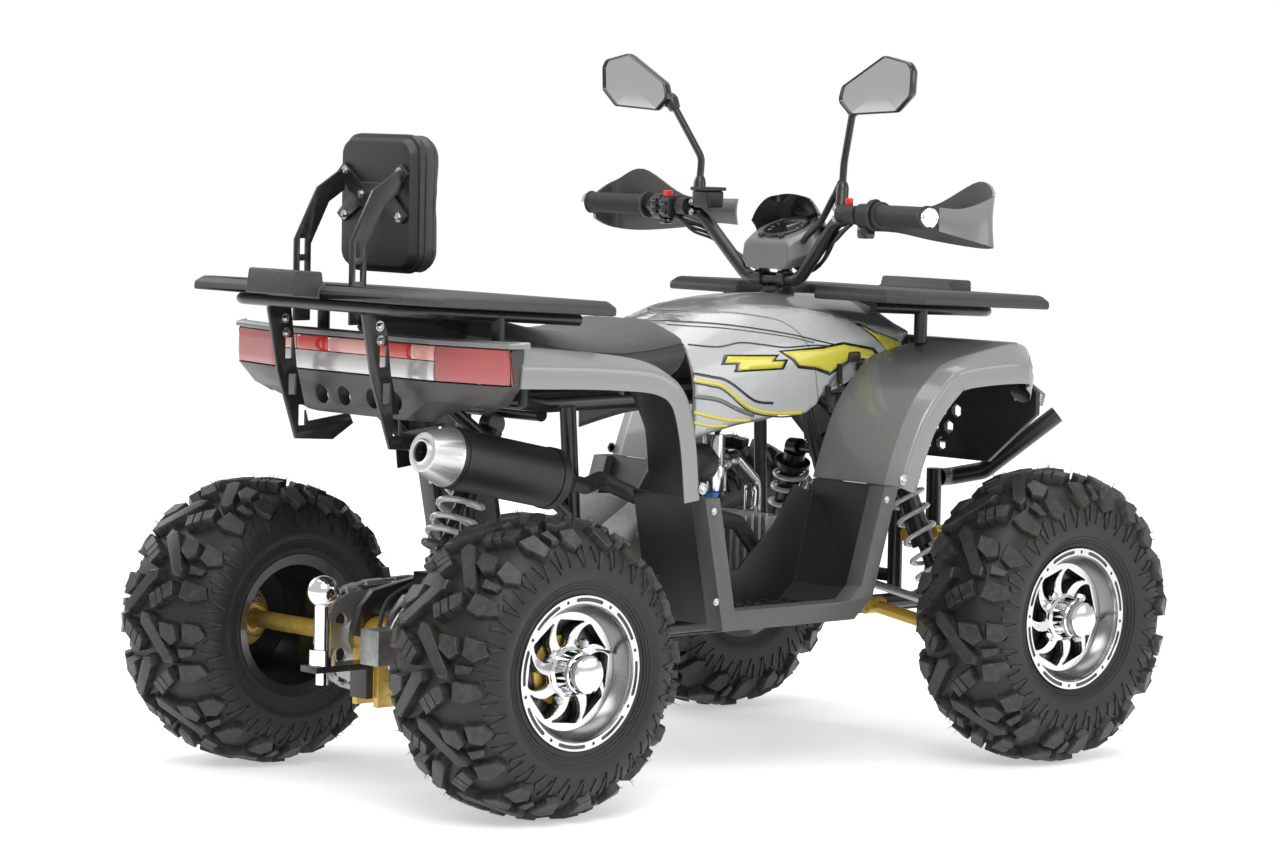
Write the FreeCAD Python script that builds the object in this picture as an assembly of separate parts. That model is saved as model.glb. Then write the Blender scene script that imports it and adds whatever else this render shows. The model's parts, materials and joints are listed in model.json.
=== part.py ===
import FreeCAD, Part
import math
import os

# Utility quad bike of the 125 cc class, in millimetres.
# +X is forward, +Y is the rider's left, +Z is up.
# The origin is on the floor under the middle of the wheelbase.

V = FreeCAD.Vector
os.makedirs("parts", exist_ok=True)

# Wheels, from the sizes in the tyre markings
wheelbase = 1046.0
rear_track = 678.0
front_track = 780.0
rear_tyre_d = 457.0
rear_tyre_w = 225.0
front_tyre_d = 483.0
front_tyre_w = 178.0
bead_r = 101.0
rear_rim_w = 204.0
front_rim_w = 144.0
rim_lip_r = 115.0
rim_wall = 3.0
lug_h = 17.0
lug_pitches = 12
tyre_sides = 24
spoke_count = 8
seat_gap = 0.3
shaft_gap = 0.06

# Axles, hubs and final drive
axle_r = 14.0
spindle_r = 12.0
carrier_r = 36.0
carrier_half = 52.0
sprocket_y = 83.0
sprocket_r = 76.0
chain_pitch_step = 62.0
chain_w = 14.0
drive_r = 24.0
drive_x = -175.0
drive_z = 292.0
disc_y = -84.0
disc_r = 78.0

# Frame
rail_r = 13.0
upper_r = 12.5
front_rail_r = 12.0
cross_r = 11.0
lower_rail_y = 128.0
lower_rail_z = 232.0
front_rail_y = 72.0
front_rail_z = 346.0
upper_rail_y = 96.0
upper_rail_z = 600.0
skid_t = 4.0

# Steering
stem_r = 12.0
clamp_x = 276.0
clamp_z = 764.0
stem_rake = 20.6
stem_foot_z = 292.0
kingpin_y = 300.0
kingpin_half = 78.0
pitman_reach = 80.0
knuckle_reach = 96.0
eye_r = 5.0
eye_step = 15.0
pitman_t = 8.0
rod_r = 7.0

# Handlebar and what is on it
bar_r = 11.0
grip_r = 17.0
grip_x = 220.0
grip_z = 889.0
grip_end_y = 403.0
grip_len = 128.0

# Racks and backrest
deck_t = 22.0
rear_deck_half = 300.0
rear_deck_x0 = -722.0
rear_deck_x1 = -299.0
rear_deck_z = 757.0
rear_deck_tilt = 3.4
front_deck_half = 304.0
front_deck_x0 = 275.0
front_deck_x1 = 660.0
front_deck_z = 742.0
front_deck_tilt = 2.5
rear_lip_x = -769.0
lip_h = 18.0
lip_depth = 60.0
rear_lip_half = 60.0
front_lip_half = 84.0
pad_half = 99.0
pad_z0 = 790.0
pad_z1 = 1013.0
pad_t = 62.0
pad_x = -570.0
pad_corner = 36.0
plate_t = 5.0
arm_x = -640.0
arm_w = 30.0
arm_y = 66.0
rack_tube_r = 9.0

# Body shells
wall = 4.0
arch_lip = 34.0
arch_bevel = 34.0
seat_low_z = 622.0
tunnel_half = 150.0
cover_waist = 146.0

# Footwells
well_in = 172.0
well_out = 350.0
well_floor = 253.0
well_band = 30.0

# Silencer
silencer_r = 46.0
silencer_y = -200.0
silencer_tilt = 11.5

# Tow hitch
ball_d = 50.0
ball_z = 312.0
ball_x = -659.0
tongue_z = 190.0

xr = -wheelbase / 2
xf = wheelbase / 2
# Each tyre stands on two lug corners, a quarter pitch either side of the bottom
foot_share = math.cos(math.radians(90.0 / lug_pitches))
zr = rear_tyre_d / 2 * foot_share
zf = front_tyre_d / 2 * foot_share


def flat(corners):
    return Part.Face(Part.makePolygon(corners + corners[:1]))


def facets(quad):
    """One flat face, or two where the four corners aren't in one plane."""
    a, b, c, d = quad
    n = (b - a).cross(c - a)
    if n.Length > 1e-9 and abs((d - a).dot(n) / n.Length) < 1e-6:
        return [flat(quad)]
    return [flat([a, b, c]), flat([a, c, d])]


def solid_of(faces):
    solid = Part.makeSolid(Part.makeShell(faces))
    if solid.Volume < 0:
        solid.reverse()
    return solid


def skin(sections):
    """Closed solid of flat faces through like-numbered corners of each section."""
    faces = [flat(sections[0]), flat(sections[-1])]
    for a, b in zip(sections, sections[1:]):
        for k in range(len(a)):
            n = (k + 1) % len(a)
            faces += facets([a[k], a[n], b[n], b[k]])
    return solid_of(faces)


def prism_y(points, y0, y1):
    """Side outline of (x, z) points, drawn out from y0 to y1."""
    return flat([V(x, y0, z) for x, z in points]).extrude(V(0, y1 - y0, 0))


def prism_x(points, x0, x1):
    """End outline of (y, z) points, drawn out from x0 to x1."""
    return flat([V(x0, y, z) for y, z in points]).extrude(V(x1 - x0, 0, 0))


def prism_z(points, z0, z1):
    """Plan outline of (x, y) points, drawn out from z0 to z1."""
    return flat([V(x, y, z0) for x, y in points]).extrude(V(0, 0, z1 - z0))


def block(x0, x1, y0, y1, z0, z1):
    return Part.makeBox(x1 - x0, y1 - y0, z1 - z0, V(x0, y0, z0))


def rod(a, b, r):
    a, b = V(*a), V(*b)
    return Part.makeCylinder(r, (b - a).Length, a, b - a)


def pipe(a, b, r, bore):
    return rod(a, b, r).cut(rod(a, b, bore))


def bent(points, r, bend):
    """Round bar along straight runs joined by tangent arcs."""
    pts = [V(*p) for p in points]
    edges = []
    start = pts[0]
    for before, corner, after in zip(pts, pts[1:], pts[2:]):
        u = (corner - before).normalize()
        w = (after - corner).normalize()
        turn = math.acos(max(-1.0, min(1.0, u.dot(w))))
        cut = bend * math.tan(turn / 2)
        p = corner - u * cut
        q = corner + w * cut
        mid_dir = (w - u).normalize()
        centre = corner + mid_dir * (bend / math.cos(turn / 2))
        m = centre - mid_dir * bend
        edges.append(Part.LineSegment(start, p).toShape())
        edges.append(Part.Arc(p, m, q).toShape())
        start = q
    edges.append(Part.LineSegment(start, pts[-1]).toShape())
    disc = Part.Face(Part.Wire(Part.makeCircle(r, pts[0], pts[1] - pts[0])))
    return Part.Wire(edges).makePipe(disc)


def fuse(shapes):
    return shapes[0].multiFuse(shapes[1:]) if len(shapes) > 1 else shapes[0]


def mirrored(shape):
    return shape.mirror(V(0, 0, 0), V(0, 1, 0))


def both(shape):
    return [shape, mirrored(shape)]


def offset_path(points, t):
    """The open path moved by t to its left, with mitred corners."""
    normals = []
    for (x0, z0), (x1, z1) in zip(points, points[1:]):
        length = math.hypot(x1 - x0, z1 - z0)
        normals.append((-(z1 - z0) / length, (x1 - x0) / length))
    moved = []
    for k, (x, z) in enumerate(points):
        n0 = normals[max(k - 1, 0)]
        n1 = normals[min(k, len(normals) - 1)]
        scale = t / (1 + n0[0] * n1[0] + n0[1] * n1[1])
        moved.append((x + (n0[0] + n1[0]) * scale, z + (n0[1] + n1[1]) * scale))
    return moved


def strip(points, t):
    """Closed outline of a bent sheet: an open path and its offset by t to the left."""
    return points + offset_path(points, t)[::-1]


def height_on(points, x):
    """Height of a path of (x, z) points at x."""
    for (x0, z0), (x1, z1) in zip(points, points[1:]):
        if min(x0, x1) <= x <= max(x0, x1):
            return z0 + (z1 - z0) * (x - x0) / (x1 - x0)
    return points[-1][1]


def tilted(shape, angle, x, z):
    """Turned about the Y direction at (x, z); a positive angle drops the nose."""
    out = shape.copy()
    out.rotate(V(x, 0, z), V(0, 1, 0), angle)
    return out


def save(node, shapes):
    solids = []
    for shape in shapes:
        solids += shape.Solids
    for solid in solids:
        if not solid.isValid() or solid.Volume <= 0:
            print("check", node, solid.isValid(), round(solid.Volume))
    shape = solids[0] if len(solids) == 1 else Part.makeCompound(solids)
    shape.exportStep("parts/" + node + ".step")


# Tyres

def carcass(outer_d, width, bead_y):
    """Ring of flat facets with a rounded shoulder, round the Y axis."""
    crown = outer_d / 2 - lug_h
    depth = crown - rim_lip_r
    half = [
        (bead_r, bead_y),
        (rim_lip_r + 1.5, bead_y),
        (rim_lip_r + 0.45 * depth, width / 2),
        (crown, 0.27 * width),
    ]
    profile = half + [(r, -y) for r, y in half[::-1]]
    faces = []
    flat_scale = 1 / math.cos(math.pi / tyre_sides)
    for k in range(tyre_sides):
        angles = [2 * math.pi * (k + s) / tyre_sides for s in (-0.5, 0.5)]
        for (r0, y0), (r1, y1) in zip(profile, profile[1:] + profile[:1]):
            corners = []
            for a, r, y in ((0, r0, y0), (0, r1, y1), (1, r1, y1), (1, r0, y0)):
                c = math.cos(angles[a]) * r * flat_scale
                s = math.sin(angles[a]) * r * flat_scale
                corners.append(V(c, y, s))
            faces.append(flat(corners))
    return solid_of(faces)


# A lug's stations: share of the tyre's width, offset along the tread, thickness and drop
lug_stations = [
    (0.03, 26.0, 21.0, 0.0),
    (0.30, 4.0, 26.0, 3.0),
    (0.455, -8.0, 24.0, 26.0),
]


def lug_top(outer_d, slant, thick, drop):
    """Height of a flat bar top whose far corner lies on the tyre's outer circle."""
    reach = max(abs(slant + thick / 2), abs(slant - thick / 2))
    return math.sqrt((outer_d / 2 - drop) ** 2 - reach ** 2), reach


def lug(outer_d, width, side, angle):
    """Slanted bar from the middle of the tread out over the shoulder."""
    sections = []
    for share, slant, thick, drop in lug_stations:
        y = side * share * width
        outer, reach = lug_top(outer_d, slant, thick, drop)
        inner = outer - lug_h - 9.0
        t0, t1 = slant - thick / 2, slant + thick / 2
        sections.append([V(outer, y, t0), V(outer, y, t1), V(inner, y, t1), V(inner, y, t0)])
    bar = skin(sections)
    bar.rotate(V(0, 0, 0), V(0, 1, 0), angle)
    return bar


def tyre(outer_d, width, rim_w):
    """Lugged tyre, turned so that two lug corners meet the floor evenly."""
    step = 360.0 / lug_pitches
    lugs = []
    for k in range(lug_pitches):
        lugs.append(lug(outer_d, width, 1, k * step))
        lugs.append(lug(outer_d, width, -1, (k + 0.5) * step))
    body = carcass(outer_d, width, rim_w / 2 - 6.5).multiFuse(lugs)
    top, reach = lug_top(outer_d, *lug_stations[0][1:])
    body.rotate(V(0, 0, 0), V(0, 1, 0), 90.0 + math.degrees(math.atan2(reach, top)) - step / 4)
    return body


# Rims: a round barrel with lips and a spoked face near the outer side

def rim(width, side, shaft_r):
    """Rim round the Y axis, its outer face towards side (+1 or -1)."""
    seat = bead_r - seat_gap
    half = width / 2
    outline = [
        (seat - 16.0, half * 0.45),
        (seat, half * 0.62),
        (seat, half - 6.0),
        (rim_lip_r, half),
        (rim_lip_r - rim_wall, half + 2.0),
        (seat - rim_wall, half - 6.0 + rim_wall),
        (seat - rim_wall, half * 0.62),
        (seat - 16.0 - rim_wall, half * 0.45),
    ]
    inner_half = [(r, -y) for r, y in outline[::-1]]
    loop = outline + inner_half
    ring_wire = Part.makePolygon([V(r, y, 0) for r, y in loop + loop[:1]])
    barrel = Part.Face(ring_wire).revolve(V(0, 0, 0), V(0, 1, 0), 360)
    face_y = half - 26.0
    face = Part.makeCylinder(seat - rim_wall / 2, 9.0, V(0, face_y, 0), V(0, 1, 0))
    inner_r, outer_r = 40.0, seat - 17.0
    sweep = 360.0 / spoke_count
    windows = []
    for k in range(spoke_count):
        corners = []
        for r, lean, spread in ((inner_r, 0.0, 0.24), (outer_r, 14.0, 0.36)):
            for s in (-1, 1):
                a = math.radians(k * sweep + lean + s * spread * sweep)
                corners.append(V(r * math.cos(a), face_y - 5, r * math.sin(a)))
        order = [corners[0], corners[1], corners[3], corners[2]]
        windows.append(flat(order).extrude(V(0, 20, 0)))
    face = face.cut(fuse(windows))
    hub = Part.makeCylinder(34.0, 46.0, V(0, face_y - 18.0, 0), V(0, 1, 0))
    cap = Part.makeCone(30.0, 24.0, 20.0, V(0, face_y + 28.0, 0), V(0, 1, 0))
    body = barrel.multiFuse([face, hub, cap])
    shaft_end = face_y + 26.0
    body = body.cut(Part.makeCylinder(shaft_r + shaft_gap, shaft_end + half, V(0, -half, 0), V(0, 1, 0)))
    if side < 0:
        body = mirrored(body)
    return body, shaft_end


def placed(shape, x, y, z):
    out = shape.copy()
    out.translate(V(x, y, z))
    return out


rear_rim, rear_shaft_end = rim(rear_rim_w, 1, axle_r)
front_rim, front_shaft_end = rim(front_rim_w, 1, spindle_r)
rear_tyre = tyre(rear_tyre_d, rear_tyre_w, rear_rim_w)
front_tyre = tyre(front_tyre_d, front_tyre_w, front_rim_w)
save("rear_tyres", both(placed(rear_tyre, xr, rear_track / 2, zr)))
save("rear_rims", both(placed(rear_rim, xr, rear_track / 2, zr)))
for name, turn in (("left", 1), ("right", -1)):
    tyre_here = placed(front_tyre, xf, front_track / 2, zf)
    rim_here = placed(front_rim, xf, front_track / 2, zf)
    if turn < 0:
        tyre_here = mirrored(tyre_here)
        rim_here = mirrored(rim_here)
    save("front_tyre_" + name, [tyre_here])
    save("front_rim_" + name, [rim_here])

# Rear axle with its hubs, sprocket and brake disc

axle_half = rear_track / 2 + rear_shaft_end
axle = rod((xr, -axle_half, zr), (xr, axle_half, zr), axle_r)
save("rear_axle", [axle])
face_in = rear_track / 2 + rear_rim_w / 2 - 26.0 - 18.0
hub = pipe((xr, face_in - 46.0, zr), (xr, face_in - seat_gap, zr), 27.0, axle_r + shaft_gap)
flange = pipe((xr, face_in - 12.0, zr), (xr, face_in - seat_gap, zr), 52.0, axle_r + shaft_gap)
save("rear_hubs", both(hub.fuse(flange)))


def sprocket(y, r, teeth, bore):
    """Toothed plate in the chain's plane."""
    disc = pipe((xr, y - 3, zr), (xr, y + 3, zr), r - 4.0, bore)
    tooth = prism_y([(-4.0, r - 7.0), (4.0, r - 7.0), (1.5, r), (-1.5, r)], y - 3, y + 3)
    around = []
    for k in range(teeth):
        t = placed(tooth, xr, 0, zr)
        t.rotate(V(xr, 0, zr), V(0, 1, 0), 360.0 * k / teeth)
        around.append(t)
    windows = []
    for k in range(5):
        w = rod((xr + 46.0, y - 4, zr), (xr + 46.0, y + 4, zr), 11.0)
        w.rotate(V(xr, 0, zr), V(0, 1, 0), 72.0 * k)
        windows.append(w)
    boss = pipe((xr, y - 12, zr), (xr, y + 10, zr), 30.0, bore)
    return disc.multiFuse(around).cut(fuse(windows)).fuse(boss)


save("rear_sprocket", [sprocket(sprocket_y, sprocket_r, 20, axle_r + shaft_gap)])
disc = pipe((xr, disc_y - 2, zr), (xr, disc_y + 2, zr), disc_r, axle_r + shaft_gap)
disc_boss = pipe((xr, disc_y - 12, zr), (xr, disc_y + 12, zr), 30.0, axle_r + shaft_gap)
vents = []
for k in range(8):
    hole = rod((xr + 60.0, disc_y - 4, zr), (xr + 60.0, disc_y + 4, zr), 6.0)
    hole.rotate(V(xr, 0, zr), V(0, 1, 0), 45.0 * k)
    vents.append(hole)
save("brake_disc", [disc.cut(fuse(vents)).fuse(disc_boss)])

# Drive chain: one fixed loop of links round the sprocket and the engine's drive gear

chain_in = sprocket_r + 2.0


def chain_path(offset):
    """Loop of (x, z) points round both wheels, at the given distance outside them."""
    dx, dz = drive_x - xr, drive_z - zr
    dist = math.hypot(dx, dz)
    lean = math.atan2(dz, dx)
    spread = math.acos((chain_in - drive_r) / dist)
    points = []
    big, small = chain_in + offset, drive_r + offset
    steps = 8
    for k in range(steps + 1):
        a = lean + spread + (2 * math.pi - 2 * spread) * k / steps
        points.append((xr + big * math.cos(a), zr + big * math.sin(a)))
    for k in range(4):
        a = lean - spread + 2 * spread * k / 3
        points.append((drive_x + small * math.cos(a), drive_z + small * math.sin(a)))
    return points


band = prism_y(chain_path(6.5), sprocket_y - 4, sprocket_y + 4)
band = band.cut(prism_y(chain_path(1.5), sprocket_y - 5, sprocket_y + 5))
mid_line = chain_path(4.0)
links = []
for (x0, z0), (x1, z1) in zip(mid_line, mid_line[1:] + mid_line[:1]):
    run = math.hypot(x1 - x0, z1 - z0)
    count = max(1, int(round(run / chain_pitch_step)))
    for k in range(count):
        s = (k + 0.5) / count
        link = block(-run / count * 0.31, run / count * 0.31, sprocket_y - chain_w / 2, sprocket_y + chain_w / 2, -4, 4)
        link.rotate(V(0, 0, 0), V(0, 1, 0), -math.degrees(math.atan2(z1 - z0, x1 - x0)))
        link.translate(V(x0 + (x1 - x0) * s, 0, z0 + (z1 - z0) * s))
        links.append(link)
chain = band.multiFuse(links)
save("drive_chain", [chain])

# Shock absorbers: eye places as (x, z) behind and (x, y, z) in front, and their sizes

rear_shock_top = (-330.0, 556.0)
rear_shock_low = (-436.0, 342.0)
rear_shock_body = 21.0
rear_shock_eye = 14.0
rear_shock_seat = (rear_shock_body * 0.8 + cross_r + seat_gap) / math.sqrt(2)
front_shock_top = (xf - 77.0, 118.0, 480.0)
front_shock_low = (xf - 41.0, 214.0, 223.6)
front_shock_body = 19.0
eye_half = 12.0

# Swingarm with the axle carrier

carrier = pipe((xr, -carrier_half, zr), (xr, carrier_half, zr), carrier_r, axle_r + shaft_gap)
ears = block(xr - 52.0, xr - 18.0, -32.0, 32.0, zr - 96.0, zr - 10.0)
ears = ears.cut(block(xr - 60.0, xr - 10.0, -20.0, 20.0, zr - 100.0, zr - 40.0))
ears = ears.cut(rod((xr, -80, zr), (xr, 80, zr), carrier_r - 6.0))
save("axle_carrier", [carrier.fuse(ears)])
pivot_x, pivot_z = -232.0, 300.0
arm_side = [
    (xr - 30.0, zr),
    (xr - 46.0, zr + 16.0),
    (xr - 34.0, zr + carrier_r + 16.0),
    (xr - 10.0, zr + carrier_r + 40.0),
    (xr + 90.0, zr + carrier_r + 58.0),
    (pivot_x, pivot_z + 22.0),
    (pivot_x, pivot_z - 22.0),
    (xr + 90.0, zr + 12.0),
    (xr + 46.0, zr - 12.0),
    (xr + 20.0, zr),
]
arm = prism_y(arm_side, 34.0, 50.0)
arm = arm.cut(rod((xr, 20, zr), (xr, 60, zr), carrier_r + seat_gap))
pivot_tube = rod((pivot_x, -62 + seat_gap, pivot_z), (pivot_x, 62 - seat_gap, pivot_z), 22.0)
seat_z = rear_shock_low[1] - rear_shock_eye - seat_gap
cross = block(rear_shock_low[0] - 18.0, rear_shock_low[0] + 18.0, -36.0, 36.0, zr + 40.0, seat_z)
swingarm = fuse(both(arm) + [pivot_tube, cross])
swingarm = swingarm.cut(rod((pivot_x, -80, pivot_z), (pivot_x, 80, pivot_z), 9.0))
save("swingarm", [swingarm])

# Tow hitch on the carrier

tongue = block(ball_x - 26.0, xr - 52.0 - seat_gap, -20.0, 20.0, tongue_z, tongue_z + 10.0)
riser = block(xr - 66.0, xr - 52.0 - seat_gap, -20.0, 20.0, tongue_z - 46.0, tongue_z + 10.0)
ball_hole = rod((ball_x, 0, tongue_z - 5), (ball_x, 0, tongue_z + 20), 10.0 + shaft_gap)
save("tow_hitch", [tongue.fuse(riser).cut(ball_hole)])
ball = Part.makeSphere(ball_d / 2, V(ball_x, 0, ball_z))
shank = rod((ball_x, 0, tongue_z + 10.0 + seat_gap), (ball_x, 0, ball_z), 13.0)
stud = rod((ball_x, 0, tongue_z - 20.0), (ball_x, 0, tongue_z + 30.0), 10.0)
collar = rod((ball_x, 0, tongue_z + 10.0 + seat_gap), (ball_x, 0, tongue_z + 34.0), 21.0)
save("hitch_ball", [ball.multiFuse([shank, stud, collar])])

# Brake caliper over the disc's rear edge

caliper = block(xr - disc_r - 34.0, xr - 44.0, disc_y - 22.0, disc_y + 22.0, zr - 20.0, zr + 34.0)
caliper = caliper.cut(pipe((xr, disc_y - 5, zr), (xr, disc_y + 5, zr), disc_r + 6.0, 20.0))
caliper = caliper.cut(rod((xr, disc_y - 30, zr), (xr, disc_y + 30, zr), 44.0))
lug_plate = block(xr - 70.0, xr - 20.0, disc_y + 20.0, -50.0 - seat_gap, zr - 12.0, zr + 12.0)
lug_plate = lug_plate.cut(rod((xr, -90, zr), (xr, -40, zr), carrier_r + seat_gap))
caliper = caliper.fuse(lug_plate)
save("brake_caliper", [caliper])

# Side lines of the body: (x, z, inner y, edge y, drop of the edge), from the front or top to the low end

front_arch = [
    (588, 640, 0, 330, 60),
    (566, 668, 0, 338, 64),
    (525, 679, 0, 358, 44),
    (483, 680, tunnel_half + 6, 370, 30),
    (359, 656, tunnel_half + 6, 362, 12),
    (318, 631, tunnel_half + 6, 356, 10),
    (271, 577, tunnel_half + 6, 352, 10),
    (240, 511, tunnel_half + 6, 350, 10),
    (219, 450, tunnel_half + 6, 350, 10),
]
rear_arch = [
    (-193, 450, 226, 350, 10),
    (-208, 562, 226, 350, 10),
    (-232, 632, 200, 350, 12),
    (-284, 668, 180, 349, 14),
    (-390, 686, 176, 348, 20),
    (-560, 701, 176, 346, 28),
]
front_line = [(a[0], a[1]) for a in front_arch]
rear_line = [(a[0], a[1]) for a in rear_arch]
body_joint_z = 460.0

# Steering line, from the clamp down to the foot of the stem

rake = math.radians(stem_rake)
stem_dir = V(-math.sin(rake), 0, math.cos(rake))
clamp = V(clamp_x, 0, clamp_z)
stem_foot = clamp - stem_dir * ((clamp_z - stem_foot_z) / math.cos(rake))


def stem_at(z):
    """Point of the stem's axis at a height."""
    return clamp - stem_dir * ((clamp_z - z) / math.cos(rake))


# Posts that carry the body: behind under the fenders, in front under the hood
mount_x = -430.0
mount_y = 192.0
hood_post_x = 511.0
hood_post_y = 79.0

# Frame of round tubes: lower rails, upper rails, uprights and cross tubes

front_post_x = xf - 23.0
rail_end_x = xf + 67.0
seat_post_x = -285.0
tail_tube_x = -545.0
tail_rail = [(seat_post_x, upper_rail_z - 10), (tail_tube_x, upper_rail_z + 20)]
lower_line = [
    (rail_end_x, front_rail_y, 452),
    (rail_end_x, front_rail_y, lower_rail_z),
    (370, front_rail_y, lower_rail_z),
    (230, lower_rail_y, lower_rail_z),
    (-200, lower_rail_y, lower_rail_z),
    (-262, lower_rail_y, lower_rail_z + 60),
    (seat_post_x, lower_rail_y, upper_rail_z - 10),
]
upper_line = [
    (front_post_x, front_rail_y, lower_rail_z + rail_r + seat_gap),
    (front_post_x, front_rail_y, 540),
    (430, upper_rail_y, upper_rail_z),
    (seat_post_x - 20, upper_rail_y, upper_rail_z - 9),
    (tail_tube_x, upper_rail_y, upper_rail_z + 20),
]
rail_bend = 45.0
lower = bent(lower_line, rail_r, rail_bend)
upper = bent(upper_line, upper_r, rail_bend)
lower_room = bent(lower_line, rail_r + seat_gap, rail_bend)
upper_room = bent(upper_line, upper_r + seat_gap, rail_bend)
rails_room = fuse([lower_room, mirrored(lower_room), upper_room, mirrored(upper_room)])


def coped(shape, *rooms):
    """A frame piece with its ends cut to the tubes that it meets."""
    out = shape.cut(rails_room)
    for room in rooms:
        out = out.cut(room)
    return out


def longest(shape):
    """The main piece of a coped tube, without the ends beyond the rails."""
    return max(shape.Solids, key=lambda solid: solid.Volume)


cross_at = [
    (rail_end_x, front_rail_y, front_rail_z),
    (front_post_x, front_rail_y, 500),
    (100, lower_rail_y, lower_rail_z),
    (-150, lower_rail_y, lower_rail_z),
    (rear_shock_top[0] + rear_shock_seat, upper_rail_y, rear_shock_top[1] + rear_shock_seat),
    (tail_tube_x, upper_rail_y, upper_rail_z + 20),
]
frame = both(lower) + both(upper)
for x, y, z in cross_at:
    frame.append(longest(coped(rod((x, -y, z), (x, y, z), cross_r))))
front_rail = rod((front_post_x, front_rail_y, front_rail_z), (rail_end_x, front_rail_y, front_rail_z), front_rail_r)
frame += both(longest(coped(front_rail)))
neck_at = stem_at(upper_rail_z)
neck = Part.makeCylinder(21.0, 34.0, neck_at - stem_dir * 17.0, stem_dir)
neck_tube = rod((neck_at.x, -upper_rail_y, upper_rail_z), (neck_at.x, upper_rail_y, upper_rail_z), cross_r)
neck = neck.fuse(longest(coped(neck_tube)))
frame.append(neck.cut(Part.makeCylinder(stem_r + shaft_gap, 80.0, neck_at - stem_dir * 40.0, stem_dir)))
rear_upright = rod((neck_at.x, 82, lower_rail_z), (neck_at.x, upper_rail_y, upper_rail_z), cross_r)
neck_room = rod((neck_at.x, -upper_rail_y, upper_rail_z), (neck_at.x, upper_rail_y, upper_rail_z), cross_r + seat_gap)
frame += both(longest(coped(rear_upright, neck_room)))
stay = rod((seat_post_x + 9, lower_rail_y, 420), (tail_tube_x + 25, upper_rail_y, upper_rail_z + 12), rail_r * 0.8)
frame += both(longest(coped(stay)))
plate_side = [(pivot_x - 30, pivot_z + 24), (pivot_x + 24, pivot_z + 24), (-130, 250), (-130, 222),
              (-170, 222), (pivot_x - 30, pivot_z - 24)]
cross_room = rod((-150, -lower_rail_y, lower_rail_z), (-150, lower_rail_y, lower_rail_z), cross_r + seat_gap)
pivot_plate = prism_y(plate_side, 62.0, 70.0).cut(cross_room)
pivot_plate = pivot_plate.cut(rod((drive_x, 50, drive_z), (drive_x, 80, drive_z), drive_r + 5.0))
pivot_plate = pivot_plate.cut(rod((pivot_x, 50, pivot_z), (pivot_x, 80, pivot_z), 9.0))
frame += both(longest(pivot_plate))
foot_cup = Part.makeCylinder(18.0, 15.0, stem_foot - stem_dir * (15.0 + seat_gap), stem_dir)
foot_stay = block(stem_foot.x - 6, front_post_x, -12, 12, 268, 281)
foot_tube = rod((front_post_x, -front_rail_y, 274), (front_post_x, front_rail_y, 274), cross_r)
frame.append(fuse([foot_cup, foot_stay, longest(coped(foot_tube))]))
sx, sy, sz = front_shock_top
shock_plate = prism_y([(sx - 12, sz + 10), (sx - 8, sz - 12), (front_post_x, sz - 60), (front_post_x, sz + 40)],
                      front_rail_y - 4, front_rail_y + 4)
shock_pin = rod((sx, front_rail_y - 4, sz), (sx, sy - eye_half - seat_gap, sz), 9.0)
frame += both(longest(coped(shock_plate)).fuse(shock_pin))
fender_low = height_on(rear_line, mount_x) - wall - 1.2
hood_low = height_on(front_line, hood_post_x) - wall - 0.5
mount_z = height_on(tail_rail, mount_x)
arm_out = rod((mount_x, upper_rail_y, mount_z), (mount_x, mount_y, mount_z), cross_r)
rear_post = rod((mount_x, mount_y, mount_z - 6), (mount_x, mount_y, fender_low), 9.0)
frame += both(longest(coped(arm_out.fuse(rear_post))))
hood_post = rod((hood_post_x, hood_post_y, 540), (hood_post_x, hood_post_y, hood_low), 9.0)
seat_post = rod((-150, upper_rail_y, 600), (-150, upper_rail_y, seat_low_z - seat_gap), 9.0)
cover_tab = rod((150, upper_rail_y, upper_rail_z), (150, cover_waist - 8.2, upper_rail_z), 8.0)
for piece in (hood_post, seat_post, cover_tab):
    frame += both(longest(coped(piece)))
save("frame_tubes", frame)
skid_z = lower_rail_z - rail_r - seat_gap
skid = prism_z([(-150, -lower_rail_y), (225, -lower_rail_y), (365, -front_rail_y), (rail_end_x, -front_rail_y),
                (rail_end_x, front_rail_y), (365, front_rail_y), (225, lower_rail_y), (-150, lower_rail_y)],
               skid_z - skid_t, skid_z)
save("skid_plate", [skid])

# Engine: crankcase, side covers and a forward-lying finned cylinder

engine_x0, engine_x1 = -190.0, 150.0
case_side = [
    (engine_x0, 262), (engine_x0 + 30, 250), (60, 250), (110, 285),
    (110, 395), (40, 425), (-90, 430), (engine_x0, 370),
]
case = prism_y(case_side, -62, 62)
right_cover = rod((-20, -62, 330), (-20, -92, 330), 74.0)
left_cover = rod((40, 60, 330), (40, 84, 330), 62.0)
fins = []
for k in range(7):
    fins.append(block(118 + 16 * k, 124 + 16 * k, -54, 54, 288, 392))
barrel = block(105, 222, -40, 40, 302, 378)
head = block(222, 262, -48, 48, 294, 386)
gear = rod((drive_x, 60, drive_z), (drive_x, sprocket_y + 4, drive_z), drive_r - 4.0)
engine = fuse([case, right_cover, left_cover, barrel, head, gear] + fins)
save("engine", [engine])
intake = bent([(235, 0, 386.3), (235, 0, 440), (150, -40, 486), (96, -70, 487)], 14.0, 26.0)
float_bowl = rod((66, -85, 440), (66, -85, 478), 21.0)
throttle = rod((66, -85, 478), (66, -85, 530), 18.0)
mouth_a, mouth_b = V(30, -95, 487), V(98, -69, 487)
mouth_dir = (mouth_a - mouth_b).normalize()
bore_tube = rod(tuple(mouth_a), tuple(mouth_b), 20.0)
save("carburettor", [fuse([intake, float_bowl, throttle, bore_tube])])
save("air_filter", [Part.makeCylinder(32.0, 75.0, mouth_a + mouth_dir * seat_gap, mouth_dir)])

# Exhaust: header pipe, silencer can and end cap

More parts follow.
